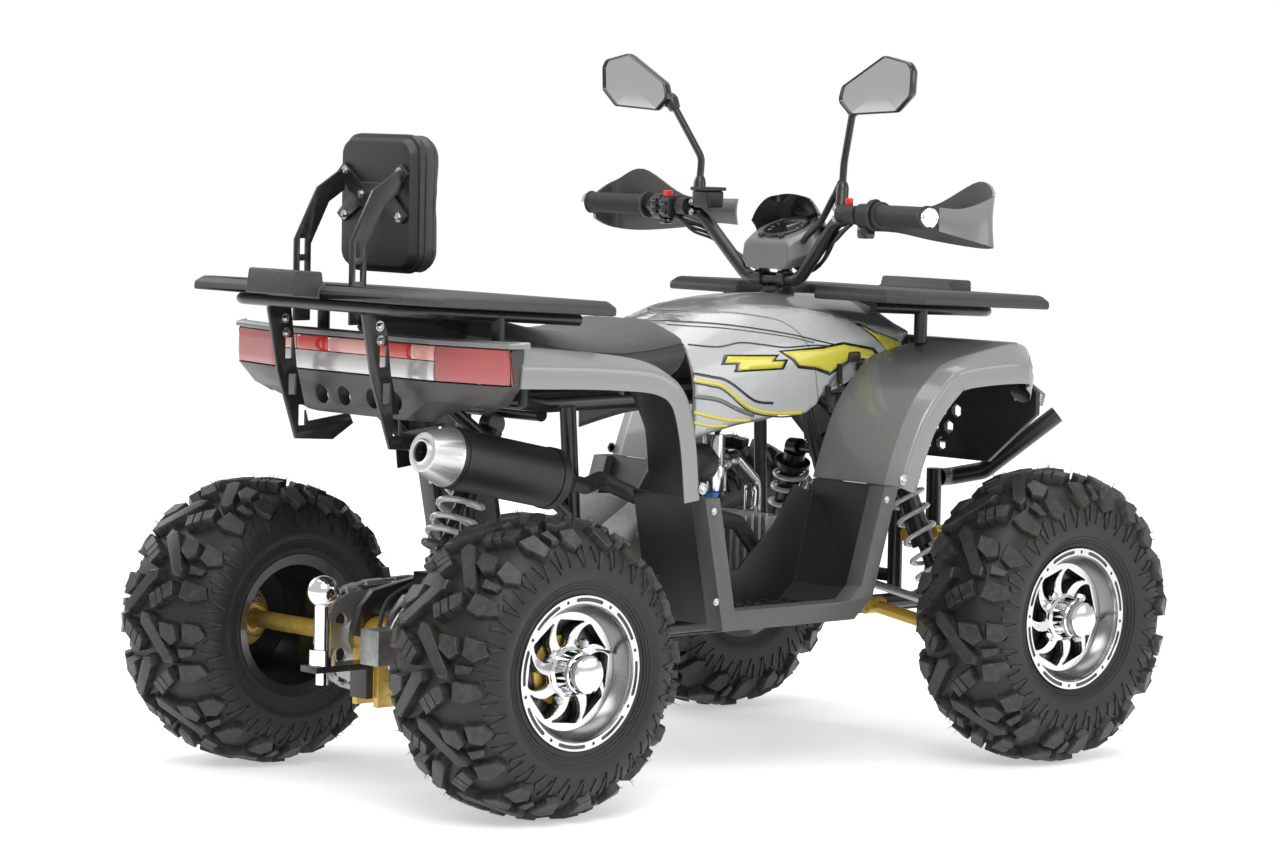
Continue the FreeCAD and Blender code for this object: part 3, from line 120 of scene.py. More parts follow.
class Shape:
    """Points and faces gathered from several simple forms."""

    def __init__(self):
        self.verts = []
        self.faces = []

    def add(self, verts, faces):
        base = len(self.verts)
        self.verts += [Vector(v) for v in verts]
        self.faces += [[i + base for i in face] for face in faces]

    def loft(self, rings, closed=True, caps=True):
        """Skin through rings of as many points each."""
        count = len(rings[0])
        verts = [p for ring in rings for p in ring]
        faces = []
        for r in range(len(rings) - 1):
            for k in range(count if closed else count - 1):
                n = (k + 1) % count
                faces.append([r * count + k, r * count + n, (r + 1) * count + n, (r + 1) * count + k])
        if caps:
            faces.append(list(range(count))[::-1])
            faces.append([(len(rings) - 1) * count + k for k in range(count)])
        self.add(verts, faces)

    def revolve(self, profile, centre, axis, steps=64, closed=False):
        """Profile of (distance along the axis, radius) turned round the axis at centre."""
        across, up = frame_of(axis)
        rings = []
        for k in range(steps):
            angle = 2 * math.pi * k / steps
            out = across * math.cos(angle) + up * math.sin(angle)
            rings.append([Vector(centre) + Vector(axis).normalized() * d + out * r for d, r in profile])
        count = len(profile)
        faces = []
        for r in range(steps):
            s = (r + 1) % steps
            for k in range(count if closed else count - 1):
                n = (k + 1) % count
                faces.append([r * count + k, r * count + n, s * count + n, s * count + k])
        self.add([p for ring in rings for p in ring], faces)

    def sweep(self, points, radius, sides=12, caps=True):
        """Round bar along points; radius is one number or one for each point."""
        pts = [Vector(p) for p in points]
        radii = radius if isinstance(radius, (list, tuple)) else [radius] * len(pts)
        tangents = []
        for k in range(len(pts)):
            before = pts[max(k - 1, 0)]
            after = pts[min(k + 1, len(pts) - 1)]
            tangents.append((after - before).normalized())
        across = frame_of(tangents[0])[0]
        rings = []
        for p, t, r in zip(pts, tangents, radii):
            across = (across - t * across.dot(t)).normalized()
            up = t.cross(across)
            ring = []
            for s in range(sides):
                a = 2 * math.pi * s / sides
                ring.append(p + across * (r * math.cos(a)) + up * (r * math.sin(a)))
            rings.append(ring)
        self.loft(rings, caps=caps)

    def prism(self, outline, offset):
        """Flat outline of points drawn out by a vector."""
        count = len(outline)
        base = [Vector(p) for p in outline]
        top = [p + Vector(offset) for p in base]
        faces = [list(range(count))[::-1], [count + k for k in range(count)]]
        for k in range(count):
            n = (k + 1) % count
            faces.append([k, n, count + n, count + k])
        self.add(base + top, faces)

    def mirrored(self):
        """The same form on the other side of the middle plane."""
        other = Shape()
        other.verts = [Vector((v.x, -v.y, v.z)) for v in self.verts]
        other.faces = [face[::-1] for face in self.faces]
        return other

    def join(self, other):
        self.add(other.verts, other.faces)

    def moved(self, matrix):
        self.verts = [matrix @ v for v in self.verts]
        return self

    def both_sides(self):
        """The form together with its mirror image."""
        whole = Shape()
        whole.join(self)
        whole.join(self.mirrored())
        return whole

    def make(self, name, material, body, crease, slot, stands_for=None):
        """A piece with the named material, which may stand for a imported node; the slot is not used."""
        obj = piece(name, self.verts, self.faces, mat(material), body, crease)
        if stands_for:
            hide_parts(stands_for)
        return obj


def frame_of(axis):
    """Two directions square to an axis."""
    axis = Vector(axis).normalized()
    helper = Vector((0, 0, 1)) if abs(axis.z) < 0.9 else Vector((1, 0, 0))
    across = helper.cross(axis).normalized()
    return across, axis.cross(across)


def rounded_path(points, bend, step=5.0):
    """Points along straight runs joined by arcs of radius bend."""
    pts = [Vector(p) for p in points]
    path = [pts[0]]
    for before, corner, after in zip(pts, pts[1:], pts[2:]):
        u = (corner - before).normalized()
        w = (after - corner).normalized()
        turn = u.angle(w)
        if turn < 1e-3:
            continue
        cut = min(bend * math.tan(turn / 2), 0.48 * (corner - before).length, 0.48 * (after - corner).length)
        radius = cut / math.tan(turn / 2)
        centre = corner + (w - u).normalized() * (radius / math.cos(turn / 2))
        count = max(3, int(radius * turn / step))
        start = corner - u * cut - centre
        normal = u.cross(w).normalized()
        for k in range(count + 1):
            path.append(centre + Matrix.Rotation(turn * k / count, 3, normal) @ start)
    path.append(pts[-1])
    return path


def smooth_line(points, steps=8):
    """Points of a smooth curve that passes through the given ones."""
    pts = [Vector(p) for p in points]
    full = [pts[0] * 2 - pts[1]] + pts + [pts[-1] * 2 - pts[-2]]
    line = []
    for k in range(1, len(full) - 2):
        a, b, c, d = full[k - 1:k + 3]
        for s in range(steps):
            t = s / steps
            line.append(0.5 * ((2 * b) + (c - a) * t + (2 * a - 5 * b + 4 * c - d) * t * t
                               + (3 * b - a - 3 * c + d) * t ** 3))
    line.append(pts[-1])
    return line


def cut_plate(name, outer, holes, place, thickness, material, body, round_edge, resolution):
    """Flat plate from an outline with holes, drawn in its own plane and put in place by a matrix."""
    curve = bpy.data.curves.new(name, "CURVE")
    curve.dimensions = "2D"
    curve.fill_mode = "BOTH"
    curve.extrude = max(thickness / 2 - round_edge, 0.05) * MM
    curve.bevel_depth = round_edge * MM
    curve.bevel_resolution = resolution
    curve.offset = -round_edge * MM
    for loop in [outer] + list(holes):
        spline = curve.splines.new("POLY")
        spline.points.add(len(loop) - 1)
        for point, (u, v) in zip(spline.points, loop):
            point.co = (u * MM, v * MM, 0, 1)
        spline.use_cyclic_u = True
    holder = bpy.data.objects.new(name + "_curve", curve)
    bpy.context.scene.collection.objects.link(holder)
    mesh = bpy.data.meshes.new_from_object(holder)
    bpy.data.objects.remove(holder)
    mesh.name = name
    placed = place.copy()
    placed.translation = placed.translation * MM
    mesh.transform(placed)
    mesh.shade_smooth()
    mesh.set_sharp_from_angle(angle=math.radians(30))
    mesh.materials.clear()
    mesh.materials.append(mat(material))
    obj = bpy.data.objects.new(name, mesh)
    bpy.context.scene.collection.objects.link(obj)
    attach(obj, body)
    return obj


def axes_matrix(origin, x_axis, y_axis):
    """Matrix that puts a drawing's first and second axes along two directions."""
    x = Vector(x_axis).normalized()
    z = x.cross(Vector(y_axis)).normalized()
    y = z.cross(x)
    matrix = Matrix((x, y, z)).transposed().to_4x4()
    matrix.translation = Vector(origin)
    return matrix


def circle(radius, count, cu=0.0, cv=0.0):
    return [(cu + radius * math.cos(2 * math.pi * k / count),
             cv + radius * math.sin(2 * math.pi * k / count)) for k in range(count)]


def round_corners(points, radius, count=5):
    """Flat outline with its corners rounded, by one radius or by one for each corner."""
    out = []
    total = len(points)
    radii = radius if isinstance(radius, list) else [radius] * total
    for k in range(total):
        if not radii[k]:
            out.append(tuple(points[k]))
            continue
        a = Vector(points[k - 1]).to_2d()
        b = Vector(points[k]).to_2d()
        c = Vector(points[(k + 1) % total]).to_2d()
        u = (a - b).normalized()
        w = (c - b).normalized()
        turn = math.acos(max(-1.0, min(1.0, u.dot(w))))
        if turn > math.pi - 0.05:
            out.append(tuple(b))
            continue
        cut = min(radii[k] / math.tan(turn / 2), 0.45 * (a - b).length, 0.45 * (c - b).length)
        r = cut * math.tan(turn / 2)
        centre = b + (u + w).normalized() * (r / math.sin(turn / 2))
        start = b + u * cut - centre
        end = b + w * cut - centre
        sweep = start.angle_signed(end)
        for s in range(count + 1):
            rot = Matrix.Rotation(-sweep * s / count, 2)
            out.append(tuple(centre + rot @ start))
    return out


# Shader groups

def new_group(name, inputs, outputs):
    """Empty shader group with float inputs (name, default) and outputs (name, socket type)."""
    group = bpy.data.node_groups.new(name, "ShaderNodeTree")
    for label, default in inputs:
        socket = group.interface.new_socket(label, in_out="INPUT", socket_type="NodeSocketFloat")
        socket.default_value = default
    for label, kind in outputs:
        group.interface.new_socket(label, in_out="OUTPUT", socket_type=kind)
    return group, group.nodes.new("NodeGroupInput"), group.nodes.new("NodeGroupOutput")


def node(tree, kind, **values):
    """Adds a node; values that name an input set its default, others set the node itself."""
    made = tree.nodes.new(kind)
    for key, value in values.items():
        if hasattr(made, key):
            setattr(made, key, value)
        else:
            made.inputs[key.replace("_", " ")].default_value = value
    return made


def maths(tree, operation, a, b, clamp=False):
    """Math node of two links or numbers; returns its output."""
    made = tree.nodes.new("ShaderNodeMath")
    made.operation = operation
    made.use_clamp = clamp
    for socket, value in zip(made.inputs, (a, b)):
        if isinstance(value, bpy.types.NodeSocket):
            tree.links.new(value, socket)
        else:
            socket.default_value = value
    return made.outputs[0]


def edge_wear_group():
    """Mask of worn edges: convex places broken up by noise."""
    group, source, out = new_group("Edge Wear", [("Amount", 1.0), ("Scale", 90.0)],
                                   [("Mask", "NodeSocketFloat")])
    shape = group.nodes.new("ShaderNodeNewGeometry")
    coords = group.nodes.new("ShaderNodeTexCoord")
    breakup = node(group, "ShaderNodeTexNoise", Detail=5.0)
    group.links.new(coords.outputs["Object"], breakup.inputs["Vector"])
    group.links.new(source.outputs["Scale"], breakup.inputs["Scale"])
    edge = maths(group, "SUBTRACT", shape.outputs["Pointiness"], 0.53)
    edge = maths(group, "MULTIPLY", edge, 14.0, clamp=True)
    spots = maths(group, "SUBTRACT", breakup.outputs["Fac"], 0.42)
    spots = maths(group, "MULTIPLY", spots, 5.0, clamp=True)
    mask = maths(group, "MULTIPLY", edge, spots)
    mask = maths(group, "MULTIPLY", mask, source.outputs["Amount"], clamp=True)
    group.links.new(mask, out.inputs["Mask"])
    return group


def grain_group():
    """Fine moulded grain: a height and a slow variation."""
    group, source, out = new_group("Moulded Grain", [("Scale", 900.0), ("Broad", 6.0)],
                                   [("Height", "NodeSocketFloat"), ("Variation", "NodeSocketFloat")])
    coords = group.nodes.new("ShaderNodeTexCoord")
    fine = node(group, "ShaderNodeTexNoise", Detail=3.0)
    broad = node(group, "ShaderNodeTexNoise", Detail=4.0)
    for texture, label in ((fine, "Scale"), (broad, "Broad")):
        group.links.new(coords.outputs["Object"], texture.inputs["Vector"])
        group.links.new(source.outputs[label], texture.inputs["Scale"])
    group.links.new(fine.outputs["Fac"], out.inputs["Height"])
    group.links.new(broad.outputs["Fac"], out.inputs["Variation"])
    return group


def weave_group():
    """Small crossed threads, with no need of a map: two sets of waves over each other."""
    group, source, out = new_group("Weave", [("Scale", 260.0)],
                                   [("Height", "NodeSocketFloat"), ("Thread", "NodeSocketFloat")])
    coords = group.nodes.new("ShaderNodeTexCoord")
    waves = []
    for direction in ("X", "Y", "Z"):
        wave = node(group, "ShaderNodeTexWave", wave_type="BANDS", bands_direction=direction, Distortion=0.25)
        group.links.new(coords.outputs["Object"], wave.inputs["Vector"])
        group.links.new(source.outputs["Scale"], wave.inputs["Scale"])
        waves.append(wave.outputs["Fac"])
    crossed = maths(group, "MULTIPLY", waves[0], waves[1])
    height = maths(group, "MAXIMUM", crossed, maths(group, "MULTIPLY", waves[2], waves[0]))
    group.links.new(height, out.inputs["Height"])
    group.links.new(maths(group, "MULTIPLY", crossed, 1.4, clamp=True), out.inputs["Thread"])
    return group


def dust_group():
    """Mask of faint dust on faces that look up."""
    group, source, out = new_group("Dust", [("Amount", 0.25)], [("Mask", "NodeSocketFloat")])
    shape = group.nodes.new("ShaderNodeNewGeometry")
    parts = group.nodes.new("ShaderNodeSeparateXYZ")
    coords = group.nodes.new("ShaderNodeTexCoord")
    cloud = node(group, "ShaderNodeTexNoise", Scale=14.0, Detail=6.0)
    group.links.new(shape.outputs["Normal"], parts.inputs[0])
    group.links.new(coords.outputs["Object"], cloud.inputs["Vector"])
    facing = maths(group, "MULTIPLY", parts.outputs["Z"], 0.8, clamp=True)
    cover = maths(group, "MULTIPLY", facing, cloud.outputs["Fac"])
    group.links.new(maths(group, "MULTIPLY", cover, source.outputs["Amount"], clamp=True), out.inputs["Mask"])
    return group


GROUPS = {}


def place_group(tree, name, **values):
    """Puts a shared group in a material with its own values."""
    holder = tree.nodes.new("ShaderNodeGroup")
    holder.node_tree = GROUPS[name]
    for key, value in values.items():
        holder.inputs[key].default_value = value
    return holder


def mixed(tree, mask, colour, over):
    """Colour with another colour laid over it by a mask."""
    mix = tree.nodes.new("ShaderNodeMix")
    mix.data_type = "RGBA"
    tree.links.new(mask, mix.inputs["Factor"])
    for label, value in (("A", colour), ("B", over)):
        socket = [s for s in mix.inputs if s.name == label and s.type == "RGBA"][0]
        if isinstance(value, bpy.types.NodeSocket):
            tree.links.new(value, socket)
        else:
            socket.default_value = (*value, 1.0)
    return [s for s in mix.outputs if s.type == "RGBA"][0]


ROUGHNESS_SWING = 0.07
COAT_ROUGHNESS = 0.06
DUST_COLOUR = (0.42, 0.40, 0.37)
BUMP_STRENGTH = 0.6


def new_material(name):
    """Makes a material and returns its tree and its shader."""
    material = bpy.data.materials.new(name)
    material.use_nodes = True
    return material.node_tree, material.node_tree.nodes["Principled BSDF"]


def vary_roughness(tree, shader, variation, low, high):
    """Lets the roughness follow a slow variation between two values."""
    ranged = node(tree, "ShaderNodeMapRange", To_Min=low, To_Max=high)
    tree.links.new(variation, ranged.inputs["Value"])
    tree.links.new(ranged.outputs["Result"], shader.inputs["Roughness"])


def surface(name, colour, rough, metal=0.0, coat=0.0, grain=900.0, relief=0.0, shift=0.12,
            worn=None, wear=0.0, dust=0.0, weave=None, spec=0.5, sheen=0.0):
    """Material with slow colour shift, grain, worn edges, dust and, for cloth, a weave."""
    tree, shader = new_material(name)
    for label, value in (("Metallic", metal), ("Coat Weight", coat), ("Coat Roughness", COAT_ROUGHNESS),
                         ("Specular IOR Level", spec), ("Sheen Weight", sheen)):
        shader.inputs[label].default_value = value
    grains = place_group(tree, "Moulded Grain", Scale=grain)
    light = tuple(min(1.0, c * (1 + shift)) for c in colour)
    deep = tuple(c * (1 - shift) for c in colour)
    base = mixed(tree, grains.outputs["Variation"], deep, light)
    height = grains.outputs["Height"]
    if weave:
        threads = place_group(tree, "Weave", Scale=weave)
        base = mixed(tree, threads.outputs["Thread"], base, tuple(min(1.0, c * 2.2 + 0.01) for c in colour))
        height = threads.outputs["Height"]
    if wear:
        edges = place_group(tree, "Edge Wear", Amount=wear)
        base = mixed(tree, edges.outputs["Mask"], base, worn)
    if dust:
        cover = place_group(tree, "Dust", Amount=dust)
        base = mixed(tree, cover.outputs["Mask"], base, DUST_COLOUR)
    tree.links.new(base, shader.inputs["Base Color"])
    vary_roughness(tree, shader, grains.outputs["Variation"],
                   max(0.02, rough - ROUGHNESS_SWING), min(1.0, rough + ROUGHNESS_SWING))
    if relief:
        bump = node(tree, "ShaderNodeBump", Strength=BUMP_STRENGTH, Distance=relief * MM)
        tree.links.new(height, bump.inputs["Height"])
        tree.links.new(bump.outputs["Normal"], shader.inputs["Normal"])


LENS_ROUGHNESS = 0.03


def glass(name, colour):
    """Clear lens."""
    tree, shader = new_material(name)
    shader.inputs["Transmission Weight"].default_value = 0.9
    shader.inputs["IOR"].default_value = 1.46
    ribs = place_group(tree, "Moulded Grain", Scale=60.0)
    tint = mixed(tree, ribs.outputs["Variation"], tuple(c * 0.9 for c in colour), colour)
    tree.links.new(tint, shader.inputs["Base Color"])
    vary_roughness(tree, shader, ribs.outputs["Variation"], LENS_ROUGHNESS, LENS_ROUGHNESS + 0.05)


# Light that the floor gives of itself, so that it runs into the backdrop without an edge
FLOOR_GLOW = 0.46


def build_finishes(look):
    """Every group and material of the vehicle."""
    for build in (edge_wear_group, grain_group, weave_group, dust_group):
        group = build()
        GROUPS[group.name] = group
    body = tuple(look.body_colour)
    surface("body paint", body, 0.3, coat=0.6, grain=1500, relief=0.004, shift=0.03)
    # A lighter copy of the body paint: painted highlight along the panels' edges, the cover's shoulder line
    # and the tail bezel.
    surface("body paint highlight", tuple(min(1, c * 1.45) for c in body), 0.26, coat=0.6, grain=1500, shift=0.03)
    surface("guard paint", tuple(c * 1.05 for c in body), 0.3, coat=0.35, shift=0.04)
    surface("guard inside", (0.05, 0.048, 0.044), 0.4, coat=0.2, shift=0.06)
    surface("decal silver", (0.40, 0.41, 0.41), 0.28, coat=0.6, grain=1200, shift=0.03)
    surface("decal yellow", tuple(look.stripe_colour), 0.28, coat=0.6, shift=0.04)
    surface("decal black", (0.012, 0.012, 0.013), 0.25, coat=0.6, shift=0.1)
    surface("rack plastic", (0.03, 0.03, 0.029), 0.5, grain=1600, relief=0.05, shift=0.06, worn=(0.12,) * 3,
            wear=0.15)
    surface("tail plastic", (0.045, 0.043, 0.04), 0.4, grain=1400, relief=0.03, shift=0.06, worn=(0.14,) * 3,
            wear=0.15)
    surface("well band", (0.062, 0.062, 0.06), 0.42, grain=1500, relief=0.03, shift=0.05, worn=(0.16,) * 3,
            wear=0.15)
    surface("black plastic", (0.012, 0.012, 0.012), 0.45, grain=1400, relief=0.04, shift=0.08,
            worn=(0.08,) * 3, wear=0.15)
    surface("gloss black", (0.012, 0.012, 0.013), 0.12, coat=0.5, shift=0.1)
    surface("frame black", (0.011, 0.011, 0.011), 0.33, coat=0.2, grain=900, relief=0.015, shift=0.08,
            worn=(0.1,) * 3, wear=0.15)
    surface("exhaust black", (0.014, 0.014, 0.014), 0.5, grain=1400, relief=0.04, shift=0.12)
    surface("gold paint", tuple(look.gold_colour), 0.3, metal=0.35, coat=0.4, grain=900, shift=0.08,
            worn=(0.9, 0.75, 0.4),
            wear=0.3)
    surface("spring paint", (0.62, 0.64, 0.66), 0.28, metal=0.2, coat=0.4, grain=500, shift=0.05)
    surface("cast alloy", (0.26, 0.26, 0.265), 0.42, metal=0.85, grain=900, relief=0.06, shift=0.12,
            worn=(0.6,) * 3, wear=0.3)
    surface("machined alloy", (0.6, 0.6, 0.61), 0.17, metal=1.0, grain=400, relief=0.004, shift=0.04)
    surface("barrel alloy", (0.2, 0.2, 0.205), 0.24, metal=1.0, grain=400, shift=0.05)
    surface("wheel black", (0.015, 0.015, 0.016), 0.25, coat=0.4, shift=0.1)
    surface("chrome", (0.74, 0.75, 0.76), 0.05, metal=1.0, grain=200, shift=0.02)
    surface("bolt steel", (0.5, 0.5, 0.51), 0.26, metal=1.0, grain=800, shift=0.08)
    surface("stainless", (0.66, 0.65, 0.64), 0.27, metal=1.0, grain=1200, relief=0.01, shift=0.06)
    surface("steel", (0.38, 0.38, 0.38), 0.34, metal=1.0, grain=900, relief=0.02, shift=0.12,
            worn=(0.65,) * 3, wear=0.3)
    surface("tyre rubber", (0.0105, 0.0102, 0.0098), 0.5, grain=900, relief=0.04, shift=0.12,
            worn=(0.045, 0.042, 0.038), wear=0.3,
            dust=0.03, spec=0.4)
    surface("lug rubber", (0.017, 0.0158, 0.0135), 0.46, grain=700, relief=0.05, shift=0.18,
            worn=(0.07, 0.063, 0.052), wear=0.4,
            spec=0.45)
    surface("grip rubber", (0.018, 0.018, 0.018), 0.55, grain=900, relief=0.05, shift=0.1)
    surface("hose rubber", (0.012, 0.012, 0.012), 0.4, shift=0.15)
    surface("seat weave", (0.032, 0.032, 0.033), 0.55, weave=310.0, relief=0.25, shift=0.06, sheen=0.15)
    surface("seat vinyl", (0.024, 0.024, 0.025), 0.48, grain=700, relief=0.08, shift=0.08, sheen=0.1)
    surface("mirror face", (0.62, 0.63, 0.64), 0.015, metal=1.0, shift=0.0)
    surface("red plastic", (0.66, 0.02, 0.02), 0.3, coat=0.3, shift=0.05)
    surface("red lens back", (0.36, 0.07, 0.07), 0.2, coat=0.6, grain=300, relief=0.03, shift=0.12)
    surface("pale red lens", (0.66, 0.33, 0.29), 0.2, coat=0.6, grain=300, relief=0.03, shift=0.1)
    surface("bright red lens", (0.55, 0.03, 0.02), 0.18, coat=0.6, grain=300, relief=0.03, shift=0.1)
    surface("silver lens back", (0.58, 0.57, 0.56), 0.2, metal=0.4, coat=0.5, grain=120, relief=0.4,
            shift=0.12)
    surface("blue plastic", (0.02, 0.12, 0.4), 0.35, coat=0.2, shift=0.1)
    surface("floor", (0.87, 0.87, 0.87), 0.75, grain=40, shift=0.005)
    shader = mat("floor").node_tree.nodes["Principled BSDF"]
    shader.inputs["Emission Color"].default_value = WHITE
    shader.inputs["Emission Strength"].default_value = FLOOR_GLOW
    glass("clear lens", (0.95, 0.95, 0.95))


def mat(name):
    return bpy.data.materials[name]


# Tyres

PITCHES = 10
LUG_HEIGHT = 17.0


def half_profile(radius, width, rim_half):
    """Smooth half section from the crown to the bead, as (y, radius) points."""
    points = [
        (0, radius - LUG_HEIGHT), (0.22 * width, radius - LUG_HEIGHT - 3), (0.36 * width, radius - 30),
        (0.455 * width, radius - 50), (0.492 * width, radius - 76), (0.468 * width, 136),
        (rim_half + 1.0, 117.5),
    ]
    return [(p.x, p.y) for p in smooth_line([(y, r, 0) for y, r in points], 6)]


class Casing:
    """The tyre's skin: a place and an outward direction for any angle and any share of the half section."""

    def __init__(self, radius, width, rim_half):
        self.line = half_profile(radius, width, rim_half)
        self.reach = [0.0]
        for a, b in zip(self.line, self.line[1:]):
            self.reach.append(self.reach[-1] + math.dist(a, b))

    def at(self, share):
        """(y, radius, normal y, normal radius) at a share of the way from the crown to the bead."""
        side = -1 if share < 0 else 1
        want = min(abs(share), 0.999) * self.reach[-1]
        k = max(i for i, r in enumerate(self.reach) if r <= want)
        k = min(k, len(self.line) - 2)
        t = (want - self.reach[k]) / (self.reach[k + 1] - self.reach[k])
        (y0, r0), (y1, r1) = self.line[k], self.line[k + 1]
        run = math.dist((y0, r0), (y1, r1))
        return side * (y0 + (y1 - y0) * t), r0 + (r1 - r0) * t, side * (r0 - r1) / run, (y1 - y0) / run

    def place(self, angle, share, height):
        """Point above the skin."""
        y, r, ny, nr = self.at(share)
        y += ny * height
        r += nr * height
        return Vector((r * math.cos(angle), y, r * math.sin(angle)))


# Tread blocks of one pitch on one half: corners as (share of the pitch, share of the half section),
# and height
TREAD = [
    ([(0.04, -0.04), (0.15, -0.05), (0.56, 0.25), (0.57, 0.33), (0.48, 0.33), (0.06, 0.05)], 17.0),
    ([(0.84, 0.02), (0.98, 0.09), (0.93, 0.15), (0.79, 0.08)], 17.0),
    ([(0.78, 0.09), (0.92, 0.16), (0.87, 0.22), (0.73, 0.15)], 17.0),
    ([(0.72, 0.16), (0.86, 0.23), (0.79, 0.31), (0.64, 0.27)], 17.0),
    ([(0.12, 0.20), (0.27, 0.22), (0.36, 0.33), (0.29, 0.40), (0.13, 0.36)], 16.0),
    ([(0.60, 0.38), (0.80, 0.36), (0.84, 0.46), (0.76, 0.60), (0.62, 0.56)], 13.0),
    ([(0.10, 0.43), (0.30, 0.43), (0.36, 0.52), (0.26, 0.62), (0.12, 0.57)], 12.0),
    ([(0.41, 0.38), (0.52, 0.39), (0.50, 0.50), (0.42, 0.52)], 11.0),
]
SIDE_RIBS = [
    ([(0.02, 0.58), (0.08, 0.57), (0.12, 0.76), (0.10, 0.77)], 3.0),
    ([(0.16, 0.60), (0.22, 0.63), (0.14, 0.77), (0.125, 0.76)], 3.0),
    ([(0.30, 0.64), (0.36, 0.60), (0.40, 0.74), (0.38, 0.75)], 2.6),
    ([(0.46, 0.56), (0.52, 0.57), (0.56, 0.72), (0.54, 0.73)], 3.0),
    ([(0.58, 0.60), (0.65, 0.62), (0.60, 0.77), (0.58, 0.76)], 3.0),
    ([(0.74, 0.64), (0.80, 0.62), (0.86, 0.77), (0.84, 0.78)], 2.6),
    ([(0.88, 0.57), (0.94, 0.58), (0.90, 0.72), (0.885, 0.72)], 3.0),
]


def tread_block(shape, casing, corners, height, angle0, step, mirror, chamfer=0.018):
    """One block: a splayed foot on the casing, a sharp top and a slightly rounded rim."""
    middle_t = sum(c[0] for c in corners) / len(corners)
    middle_v = sum(c[1] for c in corners) / len(corners)
    rings = []
    for spread, level in ((1.0 + chamfer * 9, -3.0), (1.0 + chamfer * 2, height - 2.0), (1.0, height - 0.7),
                          (0.93, height)):
        ring = []
        for t, v in corners:
            t = middle_t + (t - middle_t) * spread
            v = middle_v + (v - middle_v) * spread
            angle = angle0 + t * step
            ring.append(casing.place(angle, v * mirror, level))
        rings.append(ring)
    if mirror > 0:
        rings = [ring[::-1] for ring in rings]
    shape.loft(rings)


def tyre_shapes(radius, width, rim_half, seed):
    """Casing, tread and moulding hairs of one tyre, round the Y axis."""
    casing = Casing(radius, width, rim_half)
    line = casing.line
    bead = 103.0
    skin = Shape()
    profile = [(-y, r) for y, r in line[::-1]] + line[1:]
    inner = [(rim_half - 4, bead), (-rim_half + 4, bead)]
    skin.revolve(profile + inner, (0, 0, 0), (0, 1, 0), steps=120, closed=True)
    # Thin rings near the bead: radius and height of each
    for side in (-1, 1):
        for r, h in ((124.0, 1.6), (129.0, 1.2), (134.0, 1.0)):
            share = [s / 200 for s in range(120, 200) if casing.at(s / 200)[1] <= r + 0.7]
            y, rr, ny, nr = casing.at(share[0] if share else 0.95)
            ring = [(side * (y + ny * a), rr + nr * a + b) for a,
                    b in ((-1, -1.2), (h, -0.5), (h, 0.5), (-1, 1.2))]
            skin.revolve(ring, (0, 0, 0), (0, 1, 0), steps=96, closed=True)
    tread = Shape()
    hairs = Shape()
    draw = random.Random(seed)
    step = 2 * math.pi / PITCHES
    for k in range(PITCHES):
        for mirror in (1, -1):
            angle0 = (k + (0.5 if mirror < 0 else 0.0)) * step
            for corners, height in TREAD:
                tread_block(tread, casing, corners, height, angle0, step, mirror)
            for corners, height in SIDE_RIBS:
                tread_block(skin, casing, corners, height, angle0, step, mirror, 0.01)
            for corners, height in TREAD:
                for t, v in draw.sample(corners, 2):
                    hair(hairs, casing, angle0 + (t + draw.uniform(-0.02, 0.02)) * step, v * mirror, height,
                         draw)
    return skin, tread, hairs


def hair(shape, casing, angle, share, height, draw):
    """A moulding hair: a thin bent spike on a block."""
    length = draw.uniform(4.0, 10.0)
    foot = casing.place(angle, share, height - 1.0)
    tip = casing.place(angle + draw.uniform(-0.02, 0.02), share + draw.uniform(-0.02, 0.02), height + length)
    shape.sweep([foot, (foot + tip) / 2 + Vector((0, draw.uniform(-1, 1), 0)), tip], [0.55, 0.45, 0.15],
                sides=4)


def wheel_matrix(x, y, z, side, turn):
    """Puts a wheel made round the Y axis with its outer face to +Y at its place."""
    flip = Matrix.Scale(-1, 4, Vector((0, 1, 0))) if side < 0 else Matrix.Identity(4)
    return Matrix.Translation((x, side * y, z)) @ flip @ Matrix.Rotation(turn, 4, "Y")


# Radius over the tread, width, and half the rim's width
FRONT_WHEEL = (240.5, 178.0, 70.0)
REAR_WHEEL = (227.6, 225.0, 100.0)
# Moulding hairs below this share of the radius under the axle are left off, where the tyre stands
HAIR_FLOOR = 0.88


def wheel_places():
    """(name, body, matrix, size) of each wheel."""
    places = []
    for side, word in SIDES:
        front = wheel_matrix(front_axle_x, front_wheel_y, front_axle_z, side, 0.3 + side * 0.2)
        rear = wheel_matrix(rear_axle_x, rear_wheel_y, rear_axle_z, side, 0.1 + side * 0.35)
        places.append(("front_" + word, "front_wheel_" + word, front, FRONT_WHEEL))
        places.append(("rear_" + word, "rear_axle_set", rear, REAR_WHEEL))
    return places


def wheel_node(name, kind):
    """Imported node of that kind, tyre or rim, of a wheel; the two at the rear are one node."""
    end, word = name.split("_")
    return "rear_%ss" % kind if end == "rear" else "front_%s_%s" % (kind, word)


def build_tyres():
    for number, (name, body, place, size) in enumerate(wheel_places()):
        skin, tread, hairs = tyre_shapes(*size, 40 + number)
        skin.moved(place).make(name + "_tyre", "tyre rubber", body, 30, "tyre", wheel_node(name, "tyre"))
        tread.moved(place).make(name + "_tread", "lug rubber", body, 25, "tyre")
        hairs.moved(place)
        low = place.translation.z - size[0] * HAIR_FLOOR
        hairs.faces = [f for f in hairs.faces if min(hairs.verts[i].z for i in f) > low]
        hairs.make(name + "_hairs", "tyre rubber", body, 60, "tyre")


# Rims

SPOKES = 8


